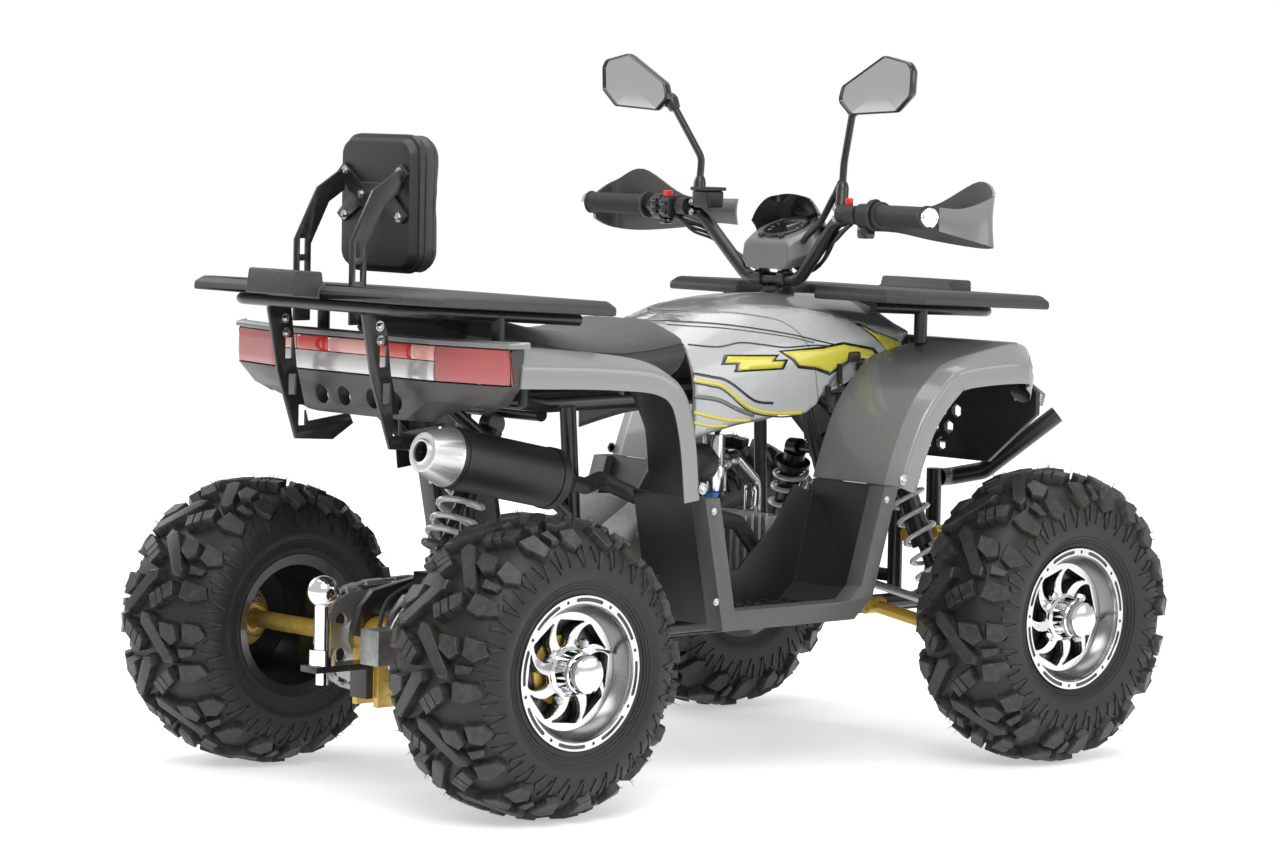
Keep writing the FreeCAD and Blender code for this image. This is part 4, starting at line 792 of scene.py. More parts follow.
def spoke_window(index):
    """Curved window between two spokes, as (u, v) points round the hub."""
    middle = 2 * math.pi * index / SPOKES
    edges = []
    for side in (-1, 1):
        edge = []
        for s in range(7):
            t = s / 6
            r = 39.0 + 41.0 * t
            spread = (0.15 + 0.185 * t ** 0.8) * side
            swirl = 0.36 * t * t
            a = middle + spread + swirl
            edge.append((r * math.cos(a), r * math.sin(a)))
        edges.append(edge)
    return round_corners(edges[0] + edges[1][::-1], 7.0, 4)


# Profile of the hub cap: distance from its foot, radius and depth of the flutes
CAP_PROFILE = (
    (0, 37, 0.0), (5, 37.4, 0.0), (8, 33.5, 1.6), (14, 33.0, 2.4), (24, 32.2, 2.4), (28, 31.5, 1.2),
    (29, 31.2, 0.0),
    (32, 30.5, 0.0), (34, 28.8, 0.0), (44, 28.4, 0.0), (47, 27.6, 0.0), (50, 24.0, 0.0), (52.5, 14.0, 0.0),
    (53.2, 0.5, 0.0),
)
WHEEL_AXIS = (0, 1, 0)
CENTRE = (0, 0, 0)


def rim_barrel(name, body, place, half):
    """Barrel, bright at the lip, dull further in and black behind the face."""
    barrel = Shape()
    barrel.revolve([
        (half + 1.0, 114.6), (half + 1.0, 103.2), (half - 4, 101.6), (half - 12, 97.0), (half - 19, 92.0),
        (half - 23, 88.0), (half - 30, 86.5), (half - 34, 91.0), (half - 46, 93.0), (-half + 6, 96.0),
        (-half - 1, 113.0),
        (-half + 3, 115.0), (-half + 8, 103.0), (half - 12, 103.0), (half - 7, 108.0), (half - 5, 114.6),
    ], CENTRE, WHEEL_AXIS, steps=96, closed=True)
    made = barrel.moved(place).make(name + "_barrel", "machined alloy", body, 28, "rim")
    made.data.materials.append(mat("wheel black"))
    made.data.materials.append(mat("barrel alloy"))
    inward = place.inverted()
    for face in made.data.polygons:
        depth = half - (inward @ (face.center / MM)).y
        if depth > 31:
            face.material_index = 1
        elif depth > 2:
            face.material_index = 2


def rim_ring_holes():
    """Long slots round the rim's ring, and a small hole between each two."""
    holes = []
    for k in range(SPOKES):
        a = 2 * math.pi * k / SPOKES + math.pi / SPOKES
        arc = []
        for r, order in ((111.6, range(9)), (106.4, range(8, -1, -1))):
            for s in order:
                t = a + (s / 8 - 0.5) * 0.48
                arc.append((r * math.cos(t), r * math.sin(t)))
        holes.append(round_corners(arc, 2.4, 3))
        b = a + math.pi / SPOKES
        holes.append(circle(2.6, 12, 109 * math.cos(b), 109 * math.sin(b)))
    return holes


def rim_pieces(name, body, place, half):
    """Barrel, ring with slots, face with curved spokes, cap and nuts of one wheel."""

    def facing(y):
        return place @ axes_matrix((0, y, 0), (1, 0, 0), (0, 0, -1))

    rim_barrel(name, body, place, half)
    cut_plate(name + "_ring", circle(115.2, 96), [circle(103.0, 96)] + rim_ring_holes(), facing(half + 2.2),
              2.8,
              "machined alloy", body, 0.6, 2)
    shadow = Shape()
    shadow.revolve([(half + 1.4, 103.5), (half + 1.4, 114.4), (half + 0.4, 114.4), (half + 0.4, 103.5)],
                   CENTRE, WHEEL_AXIS, steps=96, closed=True)
    shadow.revolve([(half - 46, 30), (half - 46, 92), (half - 47, 92), (half - 47, 30)],
                   CENTRE, WHEEL_AXIS, steps=72, closed=True)
    shadow.moved(place).make(name + "_shadow", "wheel black", body, 28, "rim")
    windows = [spoke_window(k) for k in range(SPOKES)]
    face = cut_plate(name + "_face", circle(90.0, 96), windows, facing(half - 29), 9.0, "machined alloy",
                     body, 1.8, 3)
    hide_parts(wheel_node(name, "rim"))
    cut_plate(name + "_face_back", circle(90.0, 72), windows, facing(half - 37), 10.0, "wheel black", body,
              0.4, 1)
    cap = Shape()
    fluted = []
    for d, r, flute in CAP_PROFILE:
        ring = []
        for s in range(60):
            a = 2 * math.pi * s / 60
            dent = flute * max(0.0, math.cos(10 * a))
            ring.append(Vector(((r - dent) * math.cos(a), half - 25 + d, -(r - dent) * math.sin(a))))
        fluted.append(ring)
    cap.loft(fluted)
    cap.moved(place).make(name + "_cap", "chrome", body, 24, "rim")
    nuts = Shape()
    for k in range(4):
        a = math.pi / 4 + k * math.pi / 2
        centre = (47 * math.cos(a), half - 24, 47 * math.sin(a))
        nuts.revolve([(0, 0.2), (0, 7.5), (9, 7.0), (11, 5.0), (11.5, 0.2)], centre, WHEEL_AXIS, steps=6)
        nuts.revolve([(11, 0.2), (11, 3.6), (12, 3.6), (12.6, 0.2)], centre, WHEEL_AXIS, steps=10)
    nuts.moved(place).make(name + "_nuts", "bolt steel", body, 24, "rim")
    valve = Shape()
    valve.sweep([(88, half - 20, 0), (80, half - 10, 4), (76, half - 2, 6)], [2.6, 2.2, 1.9], 8)
    valve.moved(place).make(name + "_valve", "hose rubber", body, 40, "rim")


def build_rims():
    for name, body, place, size in wheel_places():
        rim_pieces(name, body, place, size[2])


# CAD nodes that stay visible, with their finish

NODE_FINISH = {
    "frame_tubes": "frame black", "header_pipe": "exhaust black", "silencer": "exhaust black",
    "front_arms": "gold paint",
    "rear_axle": "gold paint", "dampers": "frame black", "rear_sprocket": "steel", "brake_disc": "steel",
    "front_rack_frame": "frame black", "rear_rack_frame": "frame black", "front_bumper": "frame black",
    "hitch_ball": "chrome", "headlamps": "clear lens", "handlebar": "frame black",
    "steering_stem": "frame black",
    "tie_rod_left": "steel", "tie_rod_right": "steel",
}
# For the nodes that a piece stands for, which aren't shown
HIDDEN_FINISH = "black plastic"


def build_node_finishes():
    """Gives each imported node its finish."""
    for name, obj in frame["nodes"].items():
        finish = mat(NODE_FINISH.get(name, HIDDEN_FINISH))
        if not obj.material_slots:
            obj.data.materials.append(finish)
        for slot in obj.material_slots:
            slot.link = "OBJECT"
            slot.material = finish


# Camera, light and floor

CAMERA_PLACE = (-4.6662, -5.1677, 1.0744)
CAMERA_YAW = math.radians(41.968)
CAMERA_PITCH = math.radians(-4.397)
CAMERA_ROLL = math.radians(1.107)


def camera_axes():
    """Directions to the right, up and ahead of the camera."""
    forward = Vector((math.sin(CAMERA_YAW) * math.cos(CAMERA_PITCH),
                      math.cos(CAMERA_YAW) * math.cos(CAMERA_PITCH),
                      math.sin(CAMERA_PITCH)))
    level = Vector((math.cos(CAMERA_YAW), -math.sin(CAMERA_YAW), 0.0))
    up = level.cross(forward)
    right = level * math.cos(CAMERA_ROLL) + up * math.sin(CAMERA_ROLL)
    up = up * math.cos(CAMERA_ROLL) - level * math.sin(CAMERA_ROLL)
    return right, up, forward


FLOOR_REACH = 60.0
WHITE = (1.0, 1.0, 1.0, 1.0)
# Name, place, target, size and power of each lamp
LAMPS = (
    ("key", (-2.6, -3.4, 4.2), (0, 0, 0.5), (3.2, 2.4), 165.0),
    ("overhead", (0.2, 0.0, 4.6), (0, 0, 0.4), (4.2, 4.2), 150.0),
    ("right_fill", (2.6, -4.6, 1.8), (0, 0, 0.5), (3.0, 2.2), 55.0),
    ("left_rim", (-1.0, 4.6, 2.6), (0, 0, 0.6), (3.0, 2.0), 70.0),
)


def area_light(name, place, target, size, watts):
    data = bpy.data.lights.new(name, "AREA")
    data.shape = "RECTANGLE"
    data.size, data.size_y = size
    data.energy = watts
    obj = bpy.data.objects.new(name, data)
    bpy.context.scene.collection.objects.link(obj)
    obj.location = place
    obj.rotation_euler = (Vector(target) - Vector(place)).to_track_quat("-Z", "Y").to_euler()


def build_stage(look):
    """Camera at the photograph's angle, a pale floor that runs into the backdrop, and soft studio light."""
    scene = bpy.context.scene
    data = bpy.data.cameras.new("photo_camera")
    data.sensor_width = 36.0
    data.lens = look.lens
    data.clip_start = 0.1
    data.clip_end = 200.0
    camera = bpy.data.objects.new("photo_camera", data)
    scene.collection.objects.link(camera)
    right, up, forward = camera_axes()
    turn = Matrix((right, up, -forward)).transposed().to_4x4()
    camera.matrix_world = Matrix.Translation(Vector(CAMERA_PLACE)) @ turn
    scene.camera = camera
    scene.view_settings.view_transform = "Standard"

    mesh = bpy.data.meshes.new("floor")
    corners = [(x * FLOOR_REACH, y * FLOOR_REACH, 0) for x, y in ((-1, -1), (1, -1), (1, 1), (-1, 1))]
    mesh.from_pydata(corners, [], [(0, 1, 2, 3)])
    floor = bpy.data.objects.new("floor", mesh)
    scene.collection.objects.link(floor)
    mesh.materials.append(mat("floor"))

    world = bpy.data.worlds.new("studio")
    scene.world = world
    world.use_nodes = True
    tree = world.node_tree
    tree.nodes.clear()
    output = tree.nodes.new("ShaderNodeOutputWorld")
    path = tree.nodes.new("ShaderNodeLightPath")
    mix = tree.nodes.new("ShaderNodeMixShader")
    tree.links.new(path.outputs["Is Camera Ray"], mix.inputs[0])
    for slot, strength in ((1, look.sky), (2, 1.0)):
        back = tree.nodes.new("ShaderNodeBackground")
        back.inputs["Color"].default_value = WHITE
        back.inputs["Strength"].default_value = strength
        tree.links.new(back.outputs["Background"], mix.inputs[slot])
    tree.links.new(mix.outputs[0], output.inputs["Surface"])

    for name, place, target, size, watts in LAMPS:
        area_light(name, place, target, size, watts * look.light)


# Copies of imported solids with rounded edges

NODE_BODY = {name: body for body, names in frame["record"]["behaviour"]["bodies"].items() for name in names}


def refined(source, material, width, second=None, beyond=0.0):
    """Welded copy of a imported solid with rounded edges; faces out beyond that y get the second material."""
    held = frame["nodes"][source]
    clean = bmesh.new()
    clean.from_mesh(held.data)
    bmesh.ops.transform(clean, matrix=held.matrix_world, verts=clean.verts)
    bmesh.ops.remove_doubles(clean, verts=clean.verts, dist=PACKED_WELD)
    bmesh.ops.dissolve_limit(clean, angle_limit=math.radians(1.0), verts=clean.verts, edges=clean.edges)
    if second:
        for face in clean.faces:
            if abs((face.calc_center_median() / MM).y) > beyond:
                face.material_index = 1
    mesh = bpy.data.meshes.new(source + "_shape")
    clean.to_mesh(mesh)
    clean.free()
    mesh.shade_smooth()
    mesh.materials.append(mat(material))
    if second:
        mesh.materials.append(mat(second))
    obj = bpy.data.objects.new(source + "_shape", mesh)
    bpy.context.scene.collection.objects.link(obj)
    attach(obj, NODE_BODY[source])
    bevel(obj, width, angle=30.0)
    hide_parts(source)


# Node, material and width of the rounding
REFINED = (
    ("rear_rack", "rack plastic", 4.5), ("front_rack", "rack plastic", 4.5),
    ("tail_guard", "frame black", 1.4),
    ("backrest_bracket", "frame black", 1.2), ("front_grille", "black plastic", 1.0),
    ("swingarm", "frame black", 3.0),
    ("axle_carrier", "gold paint", 2.0), ("tow_hitch", "frame black", 2.0),
    ("skid_plate", "frame black", 1.2),
    ("engine", "cast alloy", 3.5), ("brake_caliper", "cast alloy", 3.0),
    ("rear_inner_fenders", "black plastic", 1.2),
    ("rear_hubs", "gold paint", 2.0), ("knuckle_left", "cast alloy", 2.0),
    ("knuckle_right", "cast alloy", 2.0),
    ("drive_chain", "steel", 1.0), ("air_filter", "black plastic", 2.0),
    ("carburettor", "machined alloy", 1.5),
)


# The footwells are lighter outside this distance from the middle
WELL_BAND_Y = 314


def build_rounded_solids():
    for source, material, width in REFINED:
        refined(source, material, width)
    for word in ("left", "right"):
        refined("footwell_" + word, "black plastic", 2.6, "well band", WELL_BAND_Y)
    refined("tail_panel", "tail plastic", 3.0)
    refined("silencer_cap", "stainless", 1.2)


# Body panels

# Stations along the arched panels: x, z, inner y, edge y, drop of the edge
FRONT_ARCH = [
    (588, 640, 0, 330, 60), (566, 668, 0, 338, 64), (525, 679, 0, 358, 44), (483, 680, 156, 370, 30),
    (359, 656, 156, 362, 12), (318, 631, 156, 356, 10), (271, 577, 156, 352, 10), (240, 511, 156, 350, 10),
    (221, 460.4, 156, 350, 10),
]
REAR_ARCH = [
    (-195, 460.4, 226, 350, 10), (-208, 562, 226, 350, 10), (-232, 632, 200, 350, 12),
    (-284, 668, 180, 349, 14),
    (-390, 686, 176, 348, 20), (-560, 701, 176, 346, 28),
]
ARCH_BEVEL = 34.0
ARCH_CENTRE_Z = 235.0
ARCH_LIP = 34.0
PANEL_WALL = 4.0
ARCH_ROUNDING = [0.0, 14.0, 9.0, 1.4, 1.4, 3.0, 4.0, 0.0]


def arch_shape(stations, steps=7):
    """Arched sheet with a bevelled band and a lip."""
    line = smooth_line([(s[0], s[1], s[3], s[4]) for s in stations], steps)
    rings = []
    for k, (x, z, edge, drop) in enumerate(line):
        before, after = line[max(k - 1, 0)], line[min(k + 1, len(line) - 1)]
        run = Vector((after[0] - before[0], after[1] - before[1])).normalized()
        down = Vector((-run.y, 0, run.x))
        part = min(k / steps, len(stations) - 1.0)
        low = int(min(part, len(stations) - 2))
        inner = stations[low][2] + (stations[low + 1][2] - stations[low][2]) * (part - low)
        outline = round_corners([
            (inner, 0), (edge - ARCH_BEVEL, 0), (edge, drop), (edge, drop + ARCH_LIP),
            (edge - PANEL_WALL, drop + ARCH_LIP), (edge - PANEL_WALL, drop + PANEL_WALL * 0.6),
            (edge - ARCH_BEVEL - PANEL_WALL * 0.4, PANEL_WALL), (inner, PANEL_WALL)], ARCH_ROUNDING, 4)
        rings.append([Vector((x, y, z)) + down * depth for y, depth in outline])
    shape = Shape()
    shape.loft(rings)
    return shape


def build_arches():
    """Front body and rear fenders, with a painted highlight as a lighter band along their edges and painted
    shade on their insides.
    """
    for name, stations in (("front_bodywork", FRONT_ARCH), ("rear_fenders", REAR_ARCH)):
        obj = arch_shape(stations).both_sides().make(name + "_panels", "body paint", "chassis", 50, "body",
                                                     name)
        obj.data.materials.append(mat("body paint highlight"))
        obj.data.materials.append(mat("black plastic"))
        paint_arch(obj, max(s[3] for s in stations) - ARCH_BEVEL - 16)


def paint_arch(obj, band_y):
    """Gives the band at the edge, outside band_y, a painted highlight in lighter paint and the inside painted
    shade in a dark one.
    """
    for face in obj.data.polygons:
        centre = face.center / MM
        outward = face.normal.y * (1 if centre.y > 0 else -1)
        radial = (face.normal.x * (centre.x - nearest_wheel(centre.x))
                  + face.normal.z * (centre.z - ARCH_CENTRE_Z))
        # Outward faces of the edge band get a painted highlight in the lighter copy of the body paint.
        if abs(centre.y) > band_y and outward > 0.12:
            face.material_index = 1
        # Faces that look toward the wheel or toward the middle get painted shade in black plastic.
        elif radial < 0 or outward < -0.5:
            face.material_index = 2


def nearest_wheel(x):
    return front_axle_x if x > 0 else rear_axle_x


# Sections of the cover: x, top, then half width and height at the crown, shoulder, waist and foot
COVER = [
    (-30, 700, 60, 696, 110, 676, 136, 620, 138, 530), (60, 736, 60, 731, 112, 706, 142, 640, 140, 548),
    (150, 751, 60, 743, 116, 720, 146, 650, 140, 560), (311, 751, 60, 743, 118, 721, 144, 680, 138, 610),
    (420, 742, 58, 735, 112, 712, 136, 690, 134, 660), (462, 720, 52, 714, 100, 700, 126, 690, 126, 684),
]


def through(table, x):
    """Values at x of a smooth curve through the rows of a table that starts with x."""
    x = min(max(x, table[0][0]), table[-1][0])
    k = 0
    while k < len(table) - 2 and table[k + 1][0] < x:
        k += 1
    run = table[k + 1][0] - table[k][0]
    t = (x - table[k][0]) / run
    values = []
    for c in range(1, len(table[0])):
        slopes = []
        for i in (k, k + 1):
            a, b = table[max(i - 1, 0)], table[min(i + 1, len(table) - 1)]
            slopes.append((b[c] - a[c]) / (b[0] - a[0]))
        values.append((2 * t ** 3 - 3 * t * t + 1) * table[k][c] + (t ** 3 - 2 * t * t + t) * run * slopes[0]
                      + (3 * t * t - 2 * t ** 3) * table[k + 1][c] + (t ** 3 - t * t) * run * slopes[1])
    return values


def cover_half(x):
    """Half section of the cover from its ridge to its foot, as (y, z) points."""
    steps = 12
    top, *rest = through(COVER, x)
    points = [(0, top)] + list(zip(rest[0::2], rest[1::2]))
    mirror = (-points[1][0], points[1][1])
    line = smooth_line([(y, z, 0) for y, z in [mirror] + points], steps)[steps:]
    return [(p.x, p.y) for p in line]


def on_cover(x, z, lift):
    """Point lift above the cover's side, on the left, at x and height z."""
    line = cover_half(x)
    for (y0, z0), (y1, z1) in zip(line, line[1:]):
        if z1 <= z <= z0:
            t = (z0 - z) / max(z0 - z1, 1e-6)
            out = Vector((0, z0 - z1, y1 - y0)).normalized()
            return Vector((x, y0 + (y1 - y0) * t, z)) + out * lift
    end = line[-1] if z < line[-1][1] else line[0]
    return Vector((x, end[0] + lift, z))


COVER_SECTIONS = 82


def build_cover():
    """Smooth shell over the tank with its side graphics."""
    shape = Shape()
    rings = []
    for k in range(COVER_SECTIONS + 1):
        x = COVER[0][0] + (COVER[-1][0] - COVER[0][0]) * k / COVER_SECTIONS
        half = cover_half(x)
        rings.append([Vector((x, y, z)) for y, z in half[::-1]] + [Vector((x, -y, z)) for y, z in half[1:]])
    shape.loft(rings, closed=False, caps=False)
    cover = shape.make("tank_cover_shell", "body paint", "chassis", 60, "body", "tank_cover")
    modifier(cover, "SOLIDIFY", thickness=3.0 * MM, offset=-1.0)
    for name, material, lift, outline in GRAPHICS:
        sheet = Shape()
        for side in (1, -1):
            verts, faces = filled(outline)
            points = [on_cover(x, z, lift) for x, z in verts]
            sheet.add([Vector((p.x, p.y * side, p.z)) for p in points], faces)
        decal = sheet.make("graphic_" + name, material, "chassis", 60, "body")
        modifier(decal, "SOLIDIFY", thickness=0.25 * MM, offset=1.0)


def build_latches():
    """Latch of the cover and the straps that hang from it, on the right side."""
    latch = Shape()
    straps = Shape()
    for x, z, tall in ((318, 652, 17), (344, 634, 15)):
        y = on_cover(x, z, 0).y
        rounded_block(latch, (x - 13, -y - 7, z - tall / 2), (x + 13, -y + 3, z + tall / 2), 4.0, "Y")
    for x, top, low in ((288, 642, 612), (268, 606, 574), (216, 562, 520)):
        line = [on_cover(x + (k - 2) * 2.0, top + (low - top) * k / 4, 2.6) for k in range(5)]
        for a, b in zip(line, line[1:]):
            straps.prism([(a.x - 5, -a.y - 1.6, a.z), (a.x + 5, -a.y - 1.6, a.z), (a.x + 5, -a.y + 1.6, a.z),
                          (a.x - 5, -a.y + 1.6, a.z)],
                         (b.x - a.x, a.y - b.y, b.z - a.z))
        end = line[-1]
        latch.revolve([(-1.2, 3.0), (-1.2, 6.0), (1.2, 6.0), (1.2, 3.0)], (end.x, -end.y - 1.0, end.z - 6),
                      (0, 1, 0), steps=20,
                      closed=True)
    latch.make("cover_latch", "black plastic", "chassis", 30, "black_plastic")
    straps.make("cover_straps", "hose rubber", "chassis", 30, "grip_rubber")


def filled(outline, step=6.0):
    """Points and triangles that fill a flat outline, with points inside it too."""
    edge = []
    count = len(outline)
    for k in range(count):
        a, b = Vector(outline[k]), Vector(outline[(k + 1) % count])
        parts = max(1, int((b - a).length / step))
        edge += [a.lerp(b, s / parts) for s in range(parts)]
    inner = []
    low_x, high_x = min(p.x for p in edge), max(p.x for p in edge)
    low_z, high_z = min(p.y for p in edge), max(p.y for p in edge)
    x = low_x + step / 2
    while x < high_x:
        z = low_z + step / 2
        while z < high_z:
            if inside(edge, x, z) and min((Vector((x, z)) - p).length for p in edge) > 0.6 * step:
                inner.append(Vector((x, z)))
            z += step
        x += step
    points = edge + inner
    loop = [list(range(len(edge)))]
    verts, _, faces, *_ = geometry.delaunay_2d_cdt(points, [], loop, 1, 1e-4)
    return [(v.x, v.y) for v in verts], [list(f) for f in faces]


def inside(loop, x, z):
    hit = False
    for a, b in zip(loop, loop[1:] + loop[:1]):
        if (a.y > z) != (b.y > z) and x < (b.x - a.x) * (z - a.y) / (b.y - a.y) + a.x:
            hit = not hit
    return hit


def band(points, width):
    """Outline of a strip that follows points, in x and z."""
    line = smooth_line([(x, z, 0) for x, z in points], 5)
    upper, lower = [], []
    for k, p in enumerate(line):
        run = (line[min(k + 1, len(line) - 1)] - line[max(k - 1, 0)]).normalized()
        side = Vector((-run.y, run.x, 0)) * width / 2
        upper.append(((p + side).x, (p + side).y))
        lower.append(((p - side).x, (p - side).y))
    return upper + lower[::-1]


# Side graphics on the cover: name, material, height above the cover, outline in x and z
GRAPHICS = [
    ("field", "decal silver", 0.9, [
        (-28, 702), (0, 716), (37, 726), (77, 733), (127, 738), (184, 736), (242, 729), (306, 718),
        (372, 704), (432, 694),
        (455, 688), (440, 672), (409, 664), (393, 658), (352, 652), (313, 650), (288, 634), (263, 605),
        (240, 577), (214, 562),
        (196, 560), (150, 562), (103, 557), (60, 552), (20, 544), (-26, 534)]),
    ("top_line", "decal black", 1.4, band([(-10, 712), (60, 708), (172, 693), (233, 681), (300, 668)], 2.2)),
    ("top_line_low", "decal black", 1.4, band([(-10, 706), (60, 702), (172, 688), (228, 677)], 1.4)),
    ("middle_line", "decal black", 1.4,
     band([(-20, 678), (30, 674), (75, 680), (120, 676), (166, 671), (232, 673), (285, 669)],
                                             2.4)),
    ("wedge_edge", "decal black", 1.4,
     [(327, 706), (342, 705), (372, 692), (430, 677), (458, 664), (420, 650), (384, 672)]),
    ("wedge", "decal yellow", 1.9, [(341, 702), (366, 692), (419, 678), (448, 666), (415, 653), (386, 672)]),
    ("patch_edge", "decal black", 1.4,
     [(148, 666), (248, 671), (293, 677), (368, 666), (394, 646), (313, 646), (266, 623),
                                        (230, 633), (190, 637), (176, 650)]),
    ("patch", "decal yellow", 1.9,
     [(157, 664), (248, 667), (293, 673), (363, 662), (386, 648), (312, 650), (266, 629),
                                    (231, 638), (192, 642), (183, 651)]),
    ("slash_edge", "decal black", 1.4,
     [(38, 662), (150, 660), (140, 652), (168, 652), (158, 636), (52, 634), (58, 646), (28, 646)]),
    ("slash", "decal yellow", 1.9,
     [(44, 659), (142, 657), (132, 649), (160, 649), (152, 639), (60, 637), (66, 649), (36, 649)]),
    ("step_line", "decal black", 1.4, band([(-28, 634), (6, 628), (40, 620), (97, 588), (140, 582)], 4.2)),
    ("step_stripe", "decal yellow", 1.4,
     band([(-29, 624), (5, 618), (33, 611), (90, 576), (150, 565), (212, 564)], 5.6)),
    ("step_edge", "decal black", 1.3,
     band([(-29, 619), (5, 613), (31, 606), (88, 571), (150, 559.5), (200, 559.5)], 2.6)),
    ("grey_stripe", "body paint", 1.4, band([(-29, 598), (20, 591), (62, 575), (100, 563)], 7.0)),
    ("low_stripe", "decal yellow", 1.4, band([(-29, 572), (10, 564), (50, 557), (92, 556)], 5.2)),
    ("low_stripe_two", "decal yellow", 1.4, band([(-29, 556), (10, 549), (44, 549)], 4.0)),
    # The seam line is a painted highlight along the cover's shoulder, in the lighter copy of the body paint.
    ("seam", "body paint highlight", 1.25,
     band([(-24, 722), (20, 727), (72, 727), (120, 722), (165, 714), (192, 700), (210, 680),
                                           (222, 655), (232, 627), (240, 600), (246, 583)], 2.0)),
]


# Soft parts

# Sections of the seat: x, half width, low, top, crown
SEAT = [
    (-512, 148, 690, 730, 3), (-400, 156, 668, 722, 3), (-300, 160, 640, 704, 2), (-190, 162, 622, 698, 2),
    (-80, 158, 622, 712, 4), (-32.5, 146, 640, 716, 5),
]
# Share of the seat's half width where the woven top ends and the piping runs
PIPING_SHARE = 0.86
CLOTH_PRESSURE = 4.0
CLOTH_FRAMES = 20


def evaluated(obj):
    """The object's mesh with its modifiers applied."""
    graph = bpy.context.evaluated_depsgraph_get()
    return bpy.data.meshes.new_from_object(obj.evaluated_get(graph))


def stuffed(obj, voxel, most):
    """Blows a closed form up as cloth, each point moved no further than most, and makes it smooth."""
    scene = bpy.context.scene
    remesh = modifier(obj, "REMESH", mode="VOXEL", voxel_size=voxel * MM)
    obj.data = evaluated(obj)
    obj.modifiers.remove(remesh)
    start = [v.co.copy() for v in obj.data.vertices]
    cloth = obj.modifiers.new("Cloth", "CLOTH")
    cloth.settings.use_pressure = True
    cloth.settings.uniform_pressure_force = CLOTH_PRESSURE
    cloth.settings.effector_weights.gravity = 0.0
    cloth.point_cache.frame_start = 1
    cloth.point_cache.frame_end = CLOTH_FRAMES
    for moment in range(1, CLOTH_FRAMES + 1):
        scene.frame_set(moment)
    blown = evaluated(obj)
    for vertex, old, new in zip(obj.data.vertices, start, blown.vertices):
        move = new.co - old
        if move.length > most * MM:
            move = move.normalized() * most * MM
        vertex.co = old + move
    obj.modifiers.remove(cloth)
    scene.frame_set(1)
    smooth = modifier(obj, "SMOOTH", factor=0.5, iterations=6)
    obj.data = evaluated(obj)
    obj.modifiers.remove(smooth)
    obj.data.shade_smooth()
    modifier(obj, "SUBSURF", levels=1, render_levels=1)


def surface_tree(obj):
    """Search tree over the faces of a piece at rest, for laying seams on it."""
    held = bmesh.new()
    held.from_mesh(obj.data)
    tree = BVHTree.FromBMesh(held)
    held.free()
    return tree


def build_seat():
    """Cushion blown up from the seat's form, with a woven top, plain sides and piping."""
    shrink = 6.0
    rings = []
    for k in range(37):
        x = -38.0 - 468.0 * k / 36
        half, low, top, crown = through(SEAT, x)
        half -= shrink
        low += shrink
        top -= shrink
        outline = [(-half * 0.84, low), (half * 0.84, low), (half, low + 0.45 * (top - low)),
                   (half * 0.88, top - 10),
                   (half * 0.45, top + crown), (-half * 0.45, top + crown), (-half * 0.88, top - 10),
                   (-half, low + 0.45 * (top - low))]
        rings.append([Vector((x, y, z)) for y, z in outline])
    shape = Shape()
    shape.loft(rings)
    seat = shape.make("seat_cushion", "seat weave", "chassis", 80, "seat_cover", "seat")
    stuffed(seat, 6.0, 8.0)
    seat.data.materials.append(mat("seat vinyl"))
    for face in seat.data.polygons:
        centre = face.center / MM
        half = through(SEAT, centre.x)[0]
        if abs(centre.y) > PIPING_SHARE * half or face.normal.z < 0.1 or centre.x < -498:
            face.material_index = 1
    tree = surface_tree(seat)
    piping = Shape()
    for side in (1, -1):
        line = []
        for k in range(48):
            x = -46.0 - 450.0 * k / 47
            y = side * PIPING_SHARE * through(SEAT, x)[0]
            found = tree.ray_cast(Vector((x, y, 900)) * MM, Vector((0, 0, -1)))[0]
            if found:
                line.append(found / MM)
        piping.sweep(line, 1.7, 6)
    piping.make("seat_piping", "seat vinyl", "chassis", 60, "seat_cover")


# Half width, lowest and highest point, and corner radius of the backrest
BACKREST = (99, 790, 1013, 40)


def backrest_rings(levels):
    """Rounded outlines of the backrest at each (x, inset) level."""
    half, low, high, corner = BACKREST
    rings = []
    for x, inset in levels:
        a = half - inset
        outline = round_corners([(-a, low + inset), (a, low + inset), (a, high - inset), (-a, high - inset)],
                                max(corner - inset, 4.0), 8)
        rings.append([Vector((x, y, z)) for y, z in outline])
    return rings


def build_backrest():
    """Cushion on a hard shell, with a seam and the bolts of its bracket."""
    cushion = Shape()
    cushion.loft(backrest_rings([(-551, 12), (-548, 6), (-530, 4), (-517, 8), (-513, 18)]))
    pad = cushion.make("backrest_cushion", "seat vinyl", "chassis", 80, "seat_cover", "backrest_pad")
    stuffed(pad, 5.0, 5.0)
    shell = Shape()
    shell.loft(backrest_rings([(-570, 22), (-569, 17), (-563, 13), (-557, 11), (-556, 7), (-549, 6),
                               (-548, 9)]))
    shell.make("backrest_shell", "black plastic", "chassis", 30, "black_plastic")
    seam = Shape()
    tree = surface_tree(pad)
    for x in (-545.0, -524.0):
        ring = [tree.find_nearest(p * MM)[0] / MM for p in backrest_rings([(x, 0.0)])[0]]
        seam.sweep(ring + ring[:1], 1.3, 6, caps=False)
    seam.make("backrest_seam", "seat vinyl", "chassis", 60, "seat_cover")
    bolts = Shape()
    for y, z in ((-66, 882), (66, 882), (-66, 950), (66, 950), (-26, 915), (26, 915)):
        add_bolt(bolts, (-576.3, y, z), (-1, 0, 0), 6.0)
    bolts.make("backrest_bolts", "bolt steel", "chassis", 30, "steel")


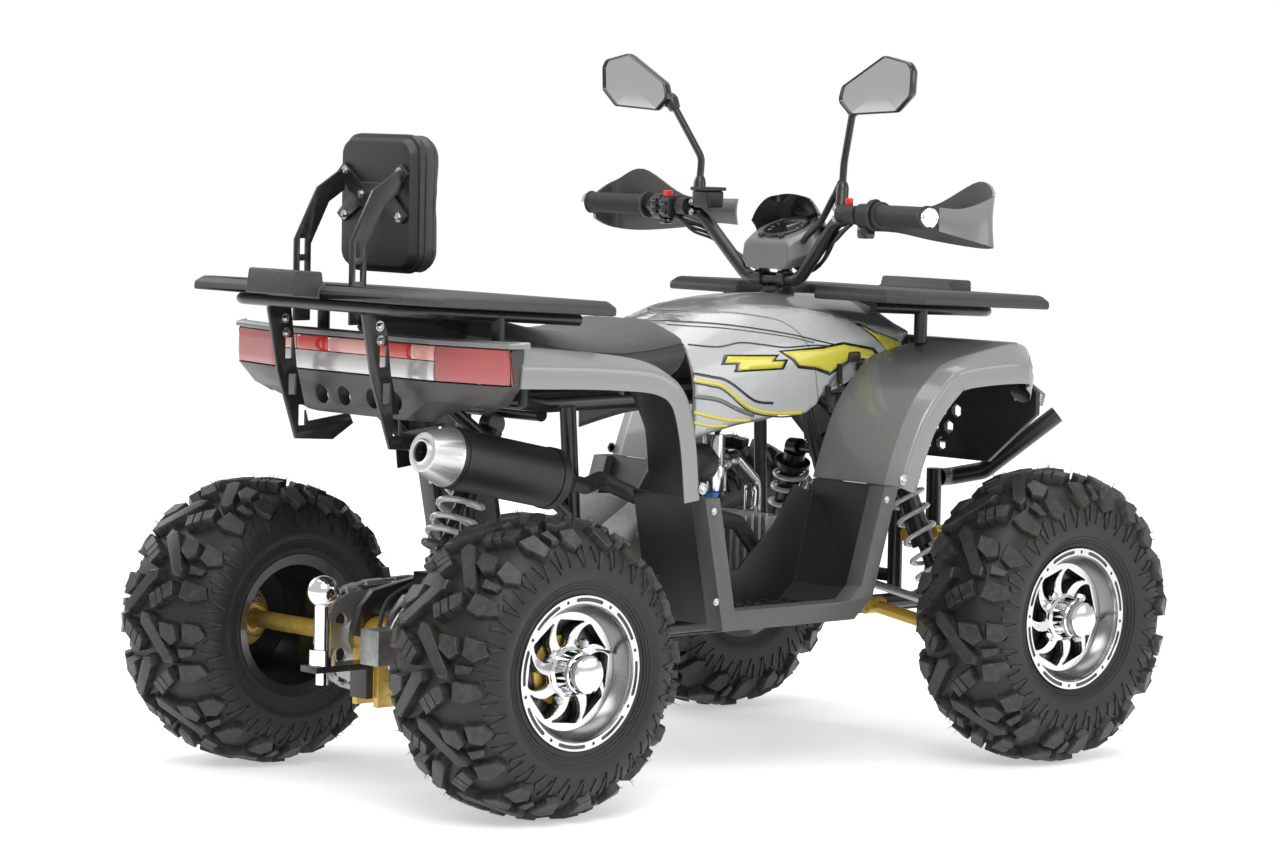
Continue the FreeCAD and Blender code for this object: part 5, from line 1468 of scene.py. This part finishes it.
def add_bolt(shape, place, axis, size, washer=True):
    """Hexagon or domed bolt head on a washer, standing on a face."""
    if washer:
        shape.revolve([(0, 0.2), (0, size * 1.25), (size * 0.22, size * 1.25), (size * 0.22, 0.2)], place,
                      axis, steps=20)
    shape.revolve([(0, 0.2), (0, size * 0.85), (size * 0.75, size * 0.8), (size * 0.95, size * 0.5),
                   (size * 0.95, 0.2)], place,
                  axis, steps=6)


# Tail, springs and small parts

LENS_LINE = [(-567, -332.5), (-580.5, -326), (-609.2, -190), (-609.2, 190), (-580.5, 326), (-567, 332.5)]


def lens_at(y):
    """Place in plan of the lamp band's rear surface at y."""
    for (x0, y0), (x1, y1) in zip(LENS_LINE, LENS_LINE[1:]):
        if y0 <= y <= y1:
            return x0 + (x1 - x0) * (y - y0) / (y1 - y0)
    return LENS_LINE[0][0]


LENS_DEPTH = 4.0
LENS_RIB = 0.6
LENS_ROWS = 8


def lens_panel(name, y0, y1, z0, z1, material, stands_for=None):
    """Curved and ribbed lens between two heights that follows the band round the tail."""
    count = max(3, int(abs(y1 - y0) / 6))
    rings = []
    for k in range(count + 1):
        y = y0 + (y1 - y0) * k / count
        inset = 1.6 if k in (0, count) else 0.0
        x = lens_at(y)
        ring = []
        for r in range(LENS_ROWS + 1):
            z = z0 + (z1 - z0) * r / LENS_ROWS
            bulge = -1.8 * math.sin(math.pi * r / LENS_ROWS) ** 0.5 + inset + (LENS_RIB if k % 2 else 0.0)
            ring.append(Vector((x + bulge, y, z)))
        ring += [Vector((x + LENS_DEPTH, y, z1)), Vector((x + LENS_DEPTH, y, z0))]
        rings.append(ring)
    shape = Shape()
    shape.loft(rings)
    shape.make(name, material, "chassis", 40, "red_lens", stands_for)


def build_tail():
    """Lamp band in red and clear parts, its bezel, and the bolts of the guard plates."""
    lens_panel("tail_lens_right", -331, -197, 644, 695, "red lens back", "tail_lamp")
    lens_panel("tail_lens_left", 197, 331, 644, 695, "red lens back")
    lens_panel("tail_lens_clear", -194, 194, 644, 672, "silver lens back")
    for number, (y0, y1, tone) in enumerate((
            (-194, -141, "pale red lens"), (-140, -62, "bright red lens"), (-61, 61, "pale red lens"),
            (62, 140, "bright red lens"), (141, 194, "pale red lens"))):
        lens_panel("tail_lens_top_%d" % number, y0, y1, 673.5, 695, tone)
    backing = Shape()
    rings = []
    for x, y in [(-573, -330), (-602, -189), (-602, 189), (-573, 330)]:
        rings.append([Vector((x, y, 643)), Vector((x, y, 696)), Vector((x + 9, y, 696)),
                      Vector((x + 9, y, 643))])
    backing.loft(rings)
    backing.make("tail_lamp_backing", "gloss black", "chassis", 30, "red_lens")
    bezel = Shape()
    rings = []
    for x, y in [(-562, -347), (-581, -335), (-612, -191), (-612, 191), (-581, 335), (-562, 347)]:
        rings.append([Vector((x, y, 697.6)), Vector((x + 1.5, y, 705)), Vector((x + 13, y, 708)),
                      Vector((x + 13, y, 697.6))])
    bezel.loft(rings)
    # The bezel's lighter paint is a painted highlight on its raised rim.
    rim = bezel.make("tail_bezel", "body paint highlight", "chassis", 25, "body")
    bevel(rim, 1.2)
    bolts = Shape()
    for side in (1, -1):
        for y, turn, size in ((119.2, 1, 6.5), (112.8, -1, 6.0)):
            for x, z in ((-652, 722), (-650, 700)):
                add_bolt(bolts, (x, side * y, z), (0, side * turn, 0), size)
    bolts.make("guard_bolts", "bolt steel", "chassis", 30, "steel")


# Eyes of each shock absorber, radius of the coil, wire and turns
SHOCKS = [
    ((446, 118, 480), (482, 214, 223.6), 27.5, 4.2, 7.5),
    ((446, -118, 480), (482, -214, 223.6), 27.5, 4.2, 7.5),
    ((-330, 0, 556), (-436, 0, 342), 33.0, 5.0, 7.0),
]


def build_springs():
    """Round-wire coil springs with closed ends, and the sleeves inside them."""
    coils = Shape()
    sleeves = Shape()
    for a, b, radius, wire, turns in SHOCKS:
        a, b = Vector(a), Vector(b)
        axis = (b - a).normalized()
        length = (b - a).length
        across, up = frame_of(axis)
        start, end = 0.12 * length + wire, 0.88 * length - wire
        steps = int(turns * 20)
        line = []
        for k in range(steps + 1):
            t = k / steps
            ease = t - 0.045 * math.sin(2 * math.pi * t)
            angle = 2 * math.pi * turns * t
            out = across * math.cos(angle) + up * math.sin(angle)
            line.append(a + axis * (start + (end - start) * ease) + out * radius)
        coils.sweep(line, wire, 10)
        sleeves.revolve([(0, 12), (0, radius - wire - 2), (9, radius - wire - 2), (13, radius - wire - 5),
                         (13, 12)],
                        a + axis * (start - wire), axis, steps=28, closed=True)
        sleeves.revolve([(0, radius + wire - 3), (-4, radius + wire - 1), (-7, radius + wire - 3), (-7, 12),
                         (0, 12)],
                        a + axis * (end + wire), -axis, steps=28, closed=True)
    coils.make("coil_springs", "spring paint", "chassis", 60, "spring_grey", "springs")
    sleeves.make("spring_cups", "black plastic", "chassis", 30, "frame_black")


# Handlebar group

GUARD_LINE = [
    (240, 408, 868, 905), (268, 434, 857, 905), (316, 446, 843, 925), (333, 400, 840, 946),
    (335, 300, 848, 905),
    (335, 215, 858, 901), (322, 150, 858, 902),
]
BAR_END = Vector((220.0, 403.0, 889.0))
BAR_DIRECTION = Vector((-21.0, 128.0, 0.5)).normalized()


def bar_end(side):
    """Place of the bar's end on one side, and the way it points."""
    return [Vector((v.x, side * v.y, v.z)) for v in (BAR_END, BAR_DIRECTION)]


def build_hand_guards():
    """Smooth bent shells in front of the grips, pale outside and dark inside."""
    line = smooth_line(GUARD_LINE, 6)
    rows = 8
    rings = []
    for k, (x, y, low, high) in enumerate(line):
        before, after = line[max(k - 1, 0)], line[min(k + 1, len(line) - 1)]
        run = Vector((after[0] - before[0], after[1] - before[1])).normalized()
        out = Vector((run.y, -run.x, 0.0))
        ring = []
        for depth, order in ((0.0, range(rows + 1)), (4.4, range(rows, -1, -1))):
            for r in order:
                t = r / rows
                curve = 3.0 * math.sin(math.pi * t) - depth
                ring.append(Vector((x, y, low + (high - low) * t)) + out * (curve - 3.0))
        rings.append(ring)
    shape = Shape()
    shape.loft(rings)
    guards = shape.both_sides().make("hand_guard_shells", "guard paint", "steering", 40, "body",
                                     "hand_guards")
    guards.data.materials.append(mat("guard inside"))
    for face in guards.data.polygons:
        centre = face.center / MM
        inward = Vector((250.0 - centre.x, (300.0 if centre.y > 0 else -300.0) - centre.y, 0))
        if face.normal.dot(inward) > 0:
            face.material_index = 1
    bevel(guards, 0.8)
    ends = Shape()
    for side in (1, -1):
        place, axis = bar_end(side)
        ends.revolve([(0.3, 0.2), (0.3, 15.8), (7, 15.8), (9, 14), (9.4, 11), (8.2, 10), (8.2, 5),
                      (10.0, 4.2), (10.0, 0.2)],
                     place, axis, steps=32)
    ends.make("bar_end_caps", "chrome", "steering", 30, "chrome")


def build_grips():
    """Ribbed rubber grips with a flange at their inner end."""
    profile = [(-128, 11.2), (-128, 21.5), (-124.5, 22), (-122, 21), (-121, 17.5)]
    for k in range(24):
        d = -118.0 + 4.6 * k
        profile += [(d, 17.0), (d + 1.0, 16.2), (d + 2.2, 16.2), (d + 3.2, 17.0)]
    profile += [(-5, 17.2), (-4, 19.0), (-1, 19.0), (0, 17.5), (0, 11.2)]
    shape = Shape()
    for side in (1, -1):
        place, axis = bar_end(side)
        shape.revolve(profile, place, axis, steps=32, closed=True)
    shape.make("grip_sleeves", "grip rubber", "steering", 35, "grip_rubber", "grips")


def rounded_block(shape, low, high, corner, axis="X"):
    """Box with rounded corners all round one axis and a softened end."""
    along = "XYZ".index(axis)
    first, second = [k for k in range(3) if k != along]
    rings = []
    for t, inset in ((0.0, corner * 0.45), (0.06, corner * 0.12), (0.12, 0.0), (0.88, 0.0),
                     (0.94, corner * 0.12),
                     (1.0, corner * 0.45)):
        a0, a1 = low[first] + inset, high[first] - inset
        b0, b1 = low[second] + inset, high[second] - inset
        ring = []
        for a, b in round_corners([(a0, b0), (a1, b0), (a1, b1), (a0, b1)], corner, 4):
            point = Vector()
            point[along], point[first], point[second] = low[along] + (high[along] - low[along]) * t, a, b
            ring.append(point)
        rings.append(ring)
    shape.loft(rings)


def build_controls():
    """Switch housing on the left, throttle housing on the right, levers and perches."""
    left = Shape()
    rounded_block(left, (224, 232, 866), (270, 256, 908), 12, "Y")
    rounded_block(left, (222, 208, 868), (268, 231, 906), 12, "Y")
    right = Shape()
    rounded_block(right, (224, -258, 868), (270, -232, 906), 14, "Y")
    rounded_block(right, (222, -231, 872), (266, -207, 902), 10, "Y")
    right.revolve([(0, 12), (0, 25), (6, 26), (8, 24), (8, 12)], (238, -262, 888.5), (0.16, -1, 0), steps=28,
                  closed=True)
    left.join(right)
    left.make("switch_housings", "black plastic", "steering", 30, "black_plastic", "controls")
    keys = Shape()
    for z in (878, 888, 898):
        rounded_block(keys, (219, 236, z - 3.4), (226, 250, z + 3.4), 2.0)
    rounded_block(keys, (218.5, 212, 874), (225, 227, 882), 2.0)
    rounded_block(keys, (218.5, 212, 889), (225, 227, 897), 2.0)
    rounded_block(keys, (232, 226, 858), (252, 240, 868), 3.0)
    rounded_block(keys, (236, -252, 850), (256, -228, 870), 5.0)
    keys.make("switch_keys", "gloss black", "steering", 30, "black_plastic")
    red = Shape()
    rounded_block(red, (226, 214, 904), (240, 226, 914), 3.0, "Z")
    rounded_block(red, (246, -200, 899), (257, -190, 914), 3.0, "Z")
    red.make("stop_buttons", "red plastic", "steering", 30, "red_lens")
    levers = Shape()
    perches = Shape()
    for side in (1, -1):
        levers.sweep([(276, side * 214, 884), (292, side * 226, 882), (306, side * 262, 879),
                      (309, side * 320, 877),
                      (303, side * 372, 876), (302, side * 384, 876)], [6.5, 6.2, 5.4, 4.4, 4.6, 5.6], 10)
        rounded_block(perches, (258, min(side * 196, side * 226), 874),
                      (290, max(side * 196, side * 226), 894), 7, "Z")
        perches.revolve([(0, 0.2), (0, 15), (20, 15), (22, 13), (22, 0.2)], (245, side * 182, 888),
                        (0, side, 0), steps=24)
        perches.revolve([(0, 0.2), (0, 5), (14, 5), (15, 3), (15, 0.2)], (258, side * 171, 876), (0, 0, 1),
                        steps=16)
    levers.make("brake_levers", "gloss black", "steering", 40, "black_plastic")
    rounded_block(perches, (232, 118, 888), (268, 160, 916), 5.0, "Z")
    rounded_block(perches, (229, 115, 916), (271, 163, 922), 4.0, "Z")
    perches.make("lever_perches", "black plastic", "steering", 30, "black_plastic")


def build_bar_fittings():
    """Clamps on the bar, and the cables held along it down to the stem."""
    clamps = Shape()
    bolts = Shape()
    for y in (-27, 27):
        rounded_block(clamps, (257, y - 8, 763), (287, y + 8, 790), 10, "Y")
        for x in (260, 284):
            add_bolt(bolts, (x, y, 789.5), (0, 0, 1), 4.0)
    clamps.make("bar_clamps", "frame black", "steering", 30, "frame_black")
    for side in (1, -1):
        for dy, z in ((172, 896), (171, 880)):
            add_bolt(bolts, (242, side * dy, z), (-1, 0, 0), 4.4)
    bolts.make("bar_bolts", "bolt steel", "steering", 30, "steel")
    cables = Shape()
    for side in (1, -1):
        for shift, radius in ((0.0, 3.4), (7.5, 3.0), (14.0, 2.6)):
            path = smooth_line([
                (240 + shift * 0.4, side * (212 - shift * 0.5), 872),
                (248, side * (188 - shift), 862 - shift),
                (266, side * (152 - shift), 850 - shift * 1.2), (288, side * (104 - shift), 812 - shift),
                (302 - shift * 0.5, side * (56 - shift), 789), (300 - shift * 0.5, side * (28 - shift), 803)],
                8)
            cables.sweep(path, radius, 8)
    lead = smooth_line([(276, -64, 838), (262, -92, 852), (252, -128, 872), (250, -152, 902),
                        (258, -169, 940)], 16)
    cables.sweep(lead, 3.0, 8)
    coil = []
    for k in range(1, len(lead) - 1):
        across, up = frame_of((lead[k + 1] - lead[k - 1]).normalized())
        for s in range(6):
            a = 2 * math.pi * s / 6
            point = lead[k].lerp(lead[k + 1], s / 6)
            coil.append(point + across * 4.4 * math.cos(a) + up * 4.4 * math.sin(a))
    cables.sweep(coil, 1.6, 5)
    cables.make("bar_cables", "hose rubber", "steering", 60, "grip_rubber")


# Sections of the pod: x, half width, low and high
POD = [(252, 46, 794, 830), (255, 58, 792, 838), (284, 68, 797, 853), (306, 70, 801, 862),
       (330, 58, 812, 872), (345, 44, 822, 877)]


def build_pod():
    """Instrument pod with its dial, buttons and the visor behind it."""
    rings = []
    for x, half, low, high in smooth_line(POD, 5):
        flat = [(-half * 0.8, low), (half * 0.8, low), (half, low + 0.35 * (high - low)),
                (half * 0.93, high - 6),
                (half * 0.8, high), (-half * 0.8, high), (-half * 0.93, high - 6),
                (-half, low + 0.35 * (high - low))]
        rings.append([Vector((x, y, z)) for y, z in round_corners(flat, 5, 4)])
    body = Shape()
    body.loft(rings)
    pod = body.make("pod_housing", "guard paint", "steering", 45, "body", "instrument_pod")
    bevel(pod, 3.0, 3, 45)
    tilt = tilted_up(21)
    centre = Vector((300, 0, 859))
    bezel = Shape()
    bezel.revolve([(-3, 36), (3.0, 36), (4.6, 38), (3.0, 41), (-3, 42)], centre, tilt, steps=48, closed=True)
    bezel.make("dial_bezel", "black plastic", "steering", 30, "black_plastic")
    face = Shape()
    face.revolve([(1.2, 0.2), (1.2, 36.5), (-1, 36.5), (-1, 0.2)], centre, tilt, steps=48)
    face.make("dial_face", "gloss black", "steering", 30, "black_plastic")
    marks = Shape()
    across, up = frame_of(tilt)
    for k in range(11):
        a = math.radians(-30 + 24 * k)
        out = across * math.cos(a) + up * math.sin(a)
        marks.sweep([centre + out * 27 + tilt * 1.6, centre + out * 33 + tilt * 1.6], 0.6, 4)
    marks.sweep([centre + tilt * 1.8, centre + (across * 0.5 + up * 0.8) * 26 + tilt * 1.8], [1.2, 0.4], 6)
    marks.make("dial_marks", "decal silver", "steering", 30, "body")
    buttons = Shape()
    for y in (-24, 24):
        buttons.revolve([(0, 0.2), (0, 6), (3, 5.4), (4, 3), (4, 0.2)], (265, y, 846), tilt, steps=16)
    rounded_block(buttons, (264, -30, 784), (280, -18, 800), 3, "Z")
    rounded_block(buttons, (264, 18, 784), (280, 30, 800), 3, "Z")
    buttons.make("pod_buttons", "black plastic", "steering", 30, "black_plastic")
    half = [(352, 0, 850, 915), (351, 30, 850, 912), (344, 54, 850, 906), (328, 74, 850, 888),
            (312, 85, 850, 868)]
    line = [(x, -y, low, high) for x, y, low, high in half[:0:-1]] + half
    rings = []
    for x, y, low, high in smooth_line(line, 4):
        ring = []
        for depth, order in ((0.0, range(6)), (3.0, range(5, -1, -1))):
            for r in order:
                t = r / 5
                back = (high - low) * 0.7 * t - 3.0 * math.sin(math.pi * t)
                ring.append(Vector((x - back - depth, y * (1 - depth / 90), low + (high - low) * t)))
        rings.append(ring)
    shield = Shape()
    shield.loft(rings)
    shield.make("pod_visor", "gloss black", "steering", 45, "black_plastic")


# Outline of a mirror in y and z, and the housing's sections: x, and scale of the outline
MIRROR_OUTLINE = [(203, 1069), (230, 1047), (335, 1053), (368, 1080), (370, 1120), (362, 1132), (305, 1143),
                  (211, 1093)]
MIRROR_SECTIONS = (
    (213.4, 0.925), (211.2, 0.945), (211.0, 0.985), (212.5, 1.0), (221, 1.0), (229, 0.93), (236, 0.8),
    (240, 0.6), (241, 0.3),
)


def build_mirrors():
    """Round-edged housings with a recessed glass, on bent stems with rubber boots."""
    shell = Shape()
    glass_plate = Shape()
    mid = Vector((290, 1096))
    for side in (1, -1):
        rings = []
        for x, scale in MIRROR_SECTIONS:
            flat = [((Vector(p) - mid) * scale + mid) for p in MIRROR_OUTLINE]
            outline = round_corners([(p.x, p.y) for p in flat], 12 * scale, 5)
            rings.append([Vector((x, side * y, z)) for y, z in outline])
        shell.loft(rings, caps=False)
        rim = rings[0]
        middle = sum(rim, Vector()) / len(rim)
        glass_plate.add([p + Vector((0.5, 0, 0)) for p in rim] + [middle], [[k, (k + 1) % len(rim), len(rim)]
                                                                          for k in range(len(rim))])
    shell.make("mirror_housings", "gloss black", "steering", 40, "black_plastic", "mirrors")
    glass_plate.make("mirror_glass", "mirror face", "steering", 30, "chrome")
    stems = Shape()
    for side in (1, -1):
        path = rounded_path([(256, side * 171, 888.4), (262, side * 170, 970), (232, side * 222, 1072)], 30.0)
        stems.sweep(path, 6.0, 16)
        stems.revolve([(0, 6.2), (0, 12), (4, 12.6), (8, 11), (40, 10.4), (46, 8.5), (50, 6.2)],
                      (256.3, side * 171, 890),
                      (0.08, side * -0.01, 1.0), steps=20)
        stems.revolve([(0, 6.2), (0, 9.5), (16, 13), (24, 11), (30, 6)], (238, side * 212, 1050),
                      (-0.22, side * 0.42, 0.88),
                      steps=20)
        stems.sweep([(226, side * 216, 1060), (224, side * 232, 1076), (224, side * 250, 1090)], [9, 10, 7],
                    12)
    stems.make("mirror_stems", "frame black", "steering", 40, "frame_black")


# Exhaust, fasteners, foot teeth and hoses

def tilted_up(degrees):
    """Direction that leans backwards from the vertical."""
    return Vector((-math.sin(math.radians(degrees)), 0, math.cos(math.radians(degrees))))


def build_silencer_trim():
    """Ring, screws, straps and dark bore of the silencer."""
    tip = Vector((-632.0, -200.0, 539.0))
    along = Vector((math.cos(math.radians(11.5)), 0, -math.sin(math.radians(11.5))))
    trim = Shape()
    trim.revolve([(-4, 16), (-4.6, 18), (-3, 20), (0, 20.5), (3, 29), (1, 16)], tip, along, steps=40,
                 closed=True)
    across, up = frame_of(along)
    for angle in (20, 70, 200, 290):
        a = math.radians(angle)
        out = across * math.cos(a) + up * math.sin(a)
        add_bolt(trim, tip + along * 38 + out * 42.2, out, 3.6, washer=False)
    trim.make("silencer_trim", "stainless", "chassis", 35, "stainless")
    bands = Shape()
    for d in (56, 246):
        bands.revolve([(d, 46.2), (d, 47.6), (d + 14, 47.6), (d + 14, 46.2)], tip, along, steps=64,
                      closed=True)
    bands.make("silencer_bands", "exhaust black", "chassis", 30, "heat_black")
    bore = Shape()
    bore.revolve([(-3, 0.2), (-3, 1), (26, 1), (26, 15.2), (-1, 15.4), (-1, 14.8), (24, 14.4), (24, 0.2)],
                 tip, along, steps=32)
    bore.make("silencer_bore", "exhaust black", "chassis", 30, "heat_black")


# Distance from the middle plane of the hub flanges' inner faces and of the footwells' outer faces
HUB_FACE_Y = 384.8
WELL_FACE_Y = 350.3


def build_fasteners():
    """Bolts of the hub flanges, nut of the hitch and bolts of the panels."""
    flange = Shape()
    for side in (1, -1):
        for k in range(4):
            a = math.pi / 4 + math.pi * k / 2
            place = (rear_axle_x + 40 * math.cos(a), side * HUB_FACE_Y, rear_axle_z + 40 * math.sin(a))
            add_bolt(flange, place, (0, -side, 0), 6)
    flange.make("hub_flange_bolts", "bolt steel", "rear_axle_set", 30, "steel")
    nut = Shape()
    nut.revolve([(0, 9), (0, 18), (3, 20), (12, 20), (15, 18), (15, 9)], (-659, 0, 199), (0, 0, 1), steps=6,
                closed=True)
    nut.revolve([(0, 9), (0, 19), (4, 19), (4, 9)], (-659, 0, 215), (0, 0, 1), steps=32, closed=True)
    nut.make("hitch_nut", "chrome", "chassis", 30, "chrome")
    bolts = Shape()
    for side in (1, -1):
        for x, z, size in ((-203, 476, 7.0), (232, 470, 7.0), (-170, 300, 4.5), (-178, 440, 4.5),
                           (196, 440, 4.5)):
            add_bolt(bolts, (x, side * WELL_FACE_Y, z), (0, side, 0), size)
    bolts.make("panel_bolts", "bolt steel", "chassis", 30, "steel")


def build_foot_teeth():
    """Rows of teeth on the floors of the footwells."""
    teeth = Shape()
    for side in (1, -1):
        for x in range(-128, 113, 40):
            for y in range(202, 293, 18):
                teeth.prism([(x - 5, side * y, 266.5), (x + 5, side * y, 266.5), (x + 3.4, side * y, 274),
                             (x - 3.4, side * y, 274)], (0, side * 9, 0))
    teeth.make("foot_teeth", "black plastic", "chassis", 25, "black_plastic")


# Points and radius of each hose: beside the engine, from the carburettor forward, and from the brake caliper
HOSES = (
    ([(66, -92, 442), (64, -108, 426), (40, -116, 414), (6, -112, 404), (-30, -100, 398)], 4.5),
    ([(70, -86, 530), (92, -92, 560), (150, -96, 580), (210, -90, 590)], 4.0),
    ([(-600, -60, 250), (-560, -40, 300), (-480, -52, 330), (-360, -56, 326), (-250, -66, 340)], 3.5),
)


def build_hoses():
    """Hoses, the carburettor's drain and the boot round the steering stem."""
    hoses = Shape()
    for points, radius in HOSES:
        hoses.sweep(smooth_line(points, 8), radius, 10)
    hoses.make("service_hoses", "hose rubber", "chassis", 60, "grip_rubber")
    drain = Shape()
    drain.revolve([(0, 0.2), (0, 17), (3, 18), (16, 18), (19, 15), (19, 0.2)], (66, -85, 421), (0, 0, 1),
                  steps=28)
    drain.make("carburettor_drain", "blue plastic", "chassis", 30, "steel")
    boot = Shape()
    boot.revolve([(-4, 13), (-4, 30), (2, 30), (5, 26), (8, 27), (11, 23), (14, 24), (17, 19), (19, 13)],
                 (281, 0, 750), tilted_up(20.6), steps=40, closed=True)
    boot.make("stem_boot", "grip rubber", "chassis", 35, "grip_rubber")


def build_small_parts():
    build_silencer_trim()
    build_fasteners()
    build_foot_teeth()
    build_hoses()


# Add-on

class QuadLook(bpy.types.PropertyGroup):
    body_colour: FloatVectorProperty(name="Body", description="Colour of the painted body panels",
                                     subtype="COLOR",
                                     size=3, min=0.0, max=1.0, default=(0.135, 0.14, 0.135))
    stripe_colour: FloatVectorProperty(name="Stripe", description="Colour of the side stripes",
                                       subtype="COLOR",
                                       size=3, min=0.0, max=1.0, default=(0.6, 0.54, 0.055))
    gold_colour: FloatVectorProperty(name="Gold", description="Colour of the suspension arms and the axle",
                                     subtype="COLOR",
                                     size=3, min=0.0, max=1.0, default=(0.55, 0.36, 0.045))
    lens: FloatProperty(name="Lens", description="Focal length of the camera, in millimetres", default=121.53,
                        min=20.0,
                        max=300.0)
    sky: FloatProperty(name="Sky", description="Strength of the even studio light", default=0.62, min=0.0,
                       max=5.0)
    light: FloatProperty(name="Lamps", description="Strength of the studio lamps", default=0.9, min=0.0,
                         max=10.0)


def look_of(context):
    return context.scene.quad_look


class QUAD_OT_finishes(bpy.types.Operator):
    """Makes the procedural materials"""
    bl_idname = "quad.finishes"
    bl_label = "Finishes"

    def execute(self, context):
        build_finishes(look_of(context))
        build_node_finishes()
        return {"FINISHED"}


class QUAD_OT_tyres(bpy.types.Operator):
    """Builds the four tyres with their tread"""
    bl_idname = "quad.tyres"
    bl_label = "Tyres"

    def execute(self, context):
        build_tyres()
        return {"FINISHED"}


class QUAD_OT_rims(bpy.types.Operator):
    """Builds the four rims with caps and nuts"""
    bl_idname = "quad.rims"
    bl_label = "Rims"

    def execute(self, context):
        build_rims()
        return {"FINISHED"}


class QUAD_OT_panels(bpy.types.Operator):
    """Builds the body panels, the cover and its graphics"""
    bl_idname = "quad.panels"
    bl_label = "Body panels"

    def execute(self, context):
        build_rounded_solids()
        build_arches()
        build_cover()
        build_latches()
        return {"FINISHED"}


class QUAD_OT_seat(bpy.types.Operator):
    """Builds the seat and the backrest"""
    bl_idname = "quad.seat"
    bl_label = "Seat and backrest"

    def execute(self, context):
        build_seat()
        build_backrest()
        return {"FINISHED"}


class QUAD_OT_tail(bpy.types.Operator):
    """Builds the tail lamps, the bolts of the tail guards and the coil springs"""
    bl_idname = "quad.tail"
    bl_label = "Tail and springs"

    def execute(self, context):
        build_tail()
        build_springs()
        return {"FINISHED"}


class QUAD_OT_bar(bpy.types.Operator):
    """Builds the grips, controls, cables, hand guards, mirrors and instrument pod"""
    bl_idname = "quad.bar"
    bl_label = "Handlebar group"

    def execute(self, context):
        build_hand_guards()
        build_grips()
        build_controls()
        build_bar_fittings()
        build_pod()
        build_mirrors()
        return {"FINISHED"}


class QUAD_OT_small_parts(bpy.types.Operator):
    """Builds the exhaust trim, hitch nut, bolts, foot teeth and hoses"""
    bl_idname = "quad.small_parts"
    bl_label = "Small parts"

    def execute(self, context):
        build_small_parts()
        return {"FINISHED"}


class QUAD_OT_stage(bpy.types.Operator):
    """Builds the camera, the light and the floor"""
    bl_idname = "quad.stage"
    bl_label = "Stage"

    def execute(self, context):
        build_stage(look_of(context))
        return {"FINISHED"}


STEPS = (QUAD_OT_finishes, QUAD_OT_tyres, QUAD_OT_rims, QUAD_OT_panels, QUAD_OT_seat, QUAD_OT_tail,
         QUAD_OT_bar, QUAD_OT_small_parts, QUAD_OT_stage)


class QUAD_PT_panel(bpy.types.Panel):
    """Lists the colours, the camera's lens, the light and the steps of the quad bike"""
    bl_label = "Quad Bike"
    bl_idname = "QUAD_PT_panel"
    bl_space_type = "VIEW_3D"
    bl_region_type = "UI"
    bl_category = "Quad Bike"

    def draw(self, context):
        look = look_of(context)
        for name in QuadLook.__annotations__:
            self.layout.prop(look, name)
        for step in STEPS:
            self.layout.operator(step.bl_idname)


CLASSES = (QuadLook,) + STEPS + (QUAD_PT_panel,)


def register():
    for cls in CLASSES:
        bpy.utils.register_class(cls)
    bpy.types.Scene.quad_look = PointerProperty(type=QuadLook)


def unregister():
    del bpy.types.Scene.quad_look
    for cls in reversed(CLASSES):
        bpy.utils.unregister_class(cls)


def main():
    register()
    for step in STEPS:
        group, name = step.bl_idname.split(".")
        getattr(getattr(bpy.ops, group), name)()


if __name__ == "__main__":
    main()
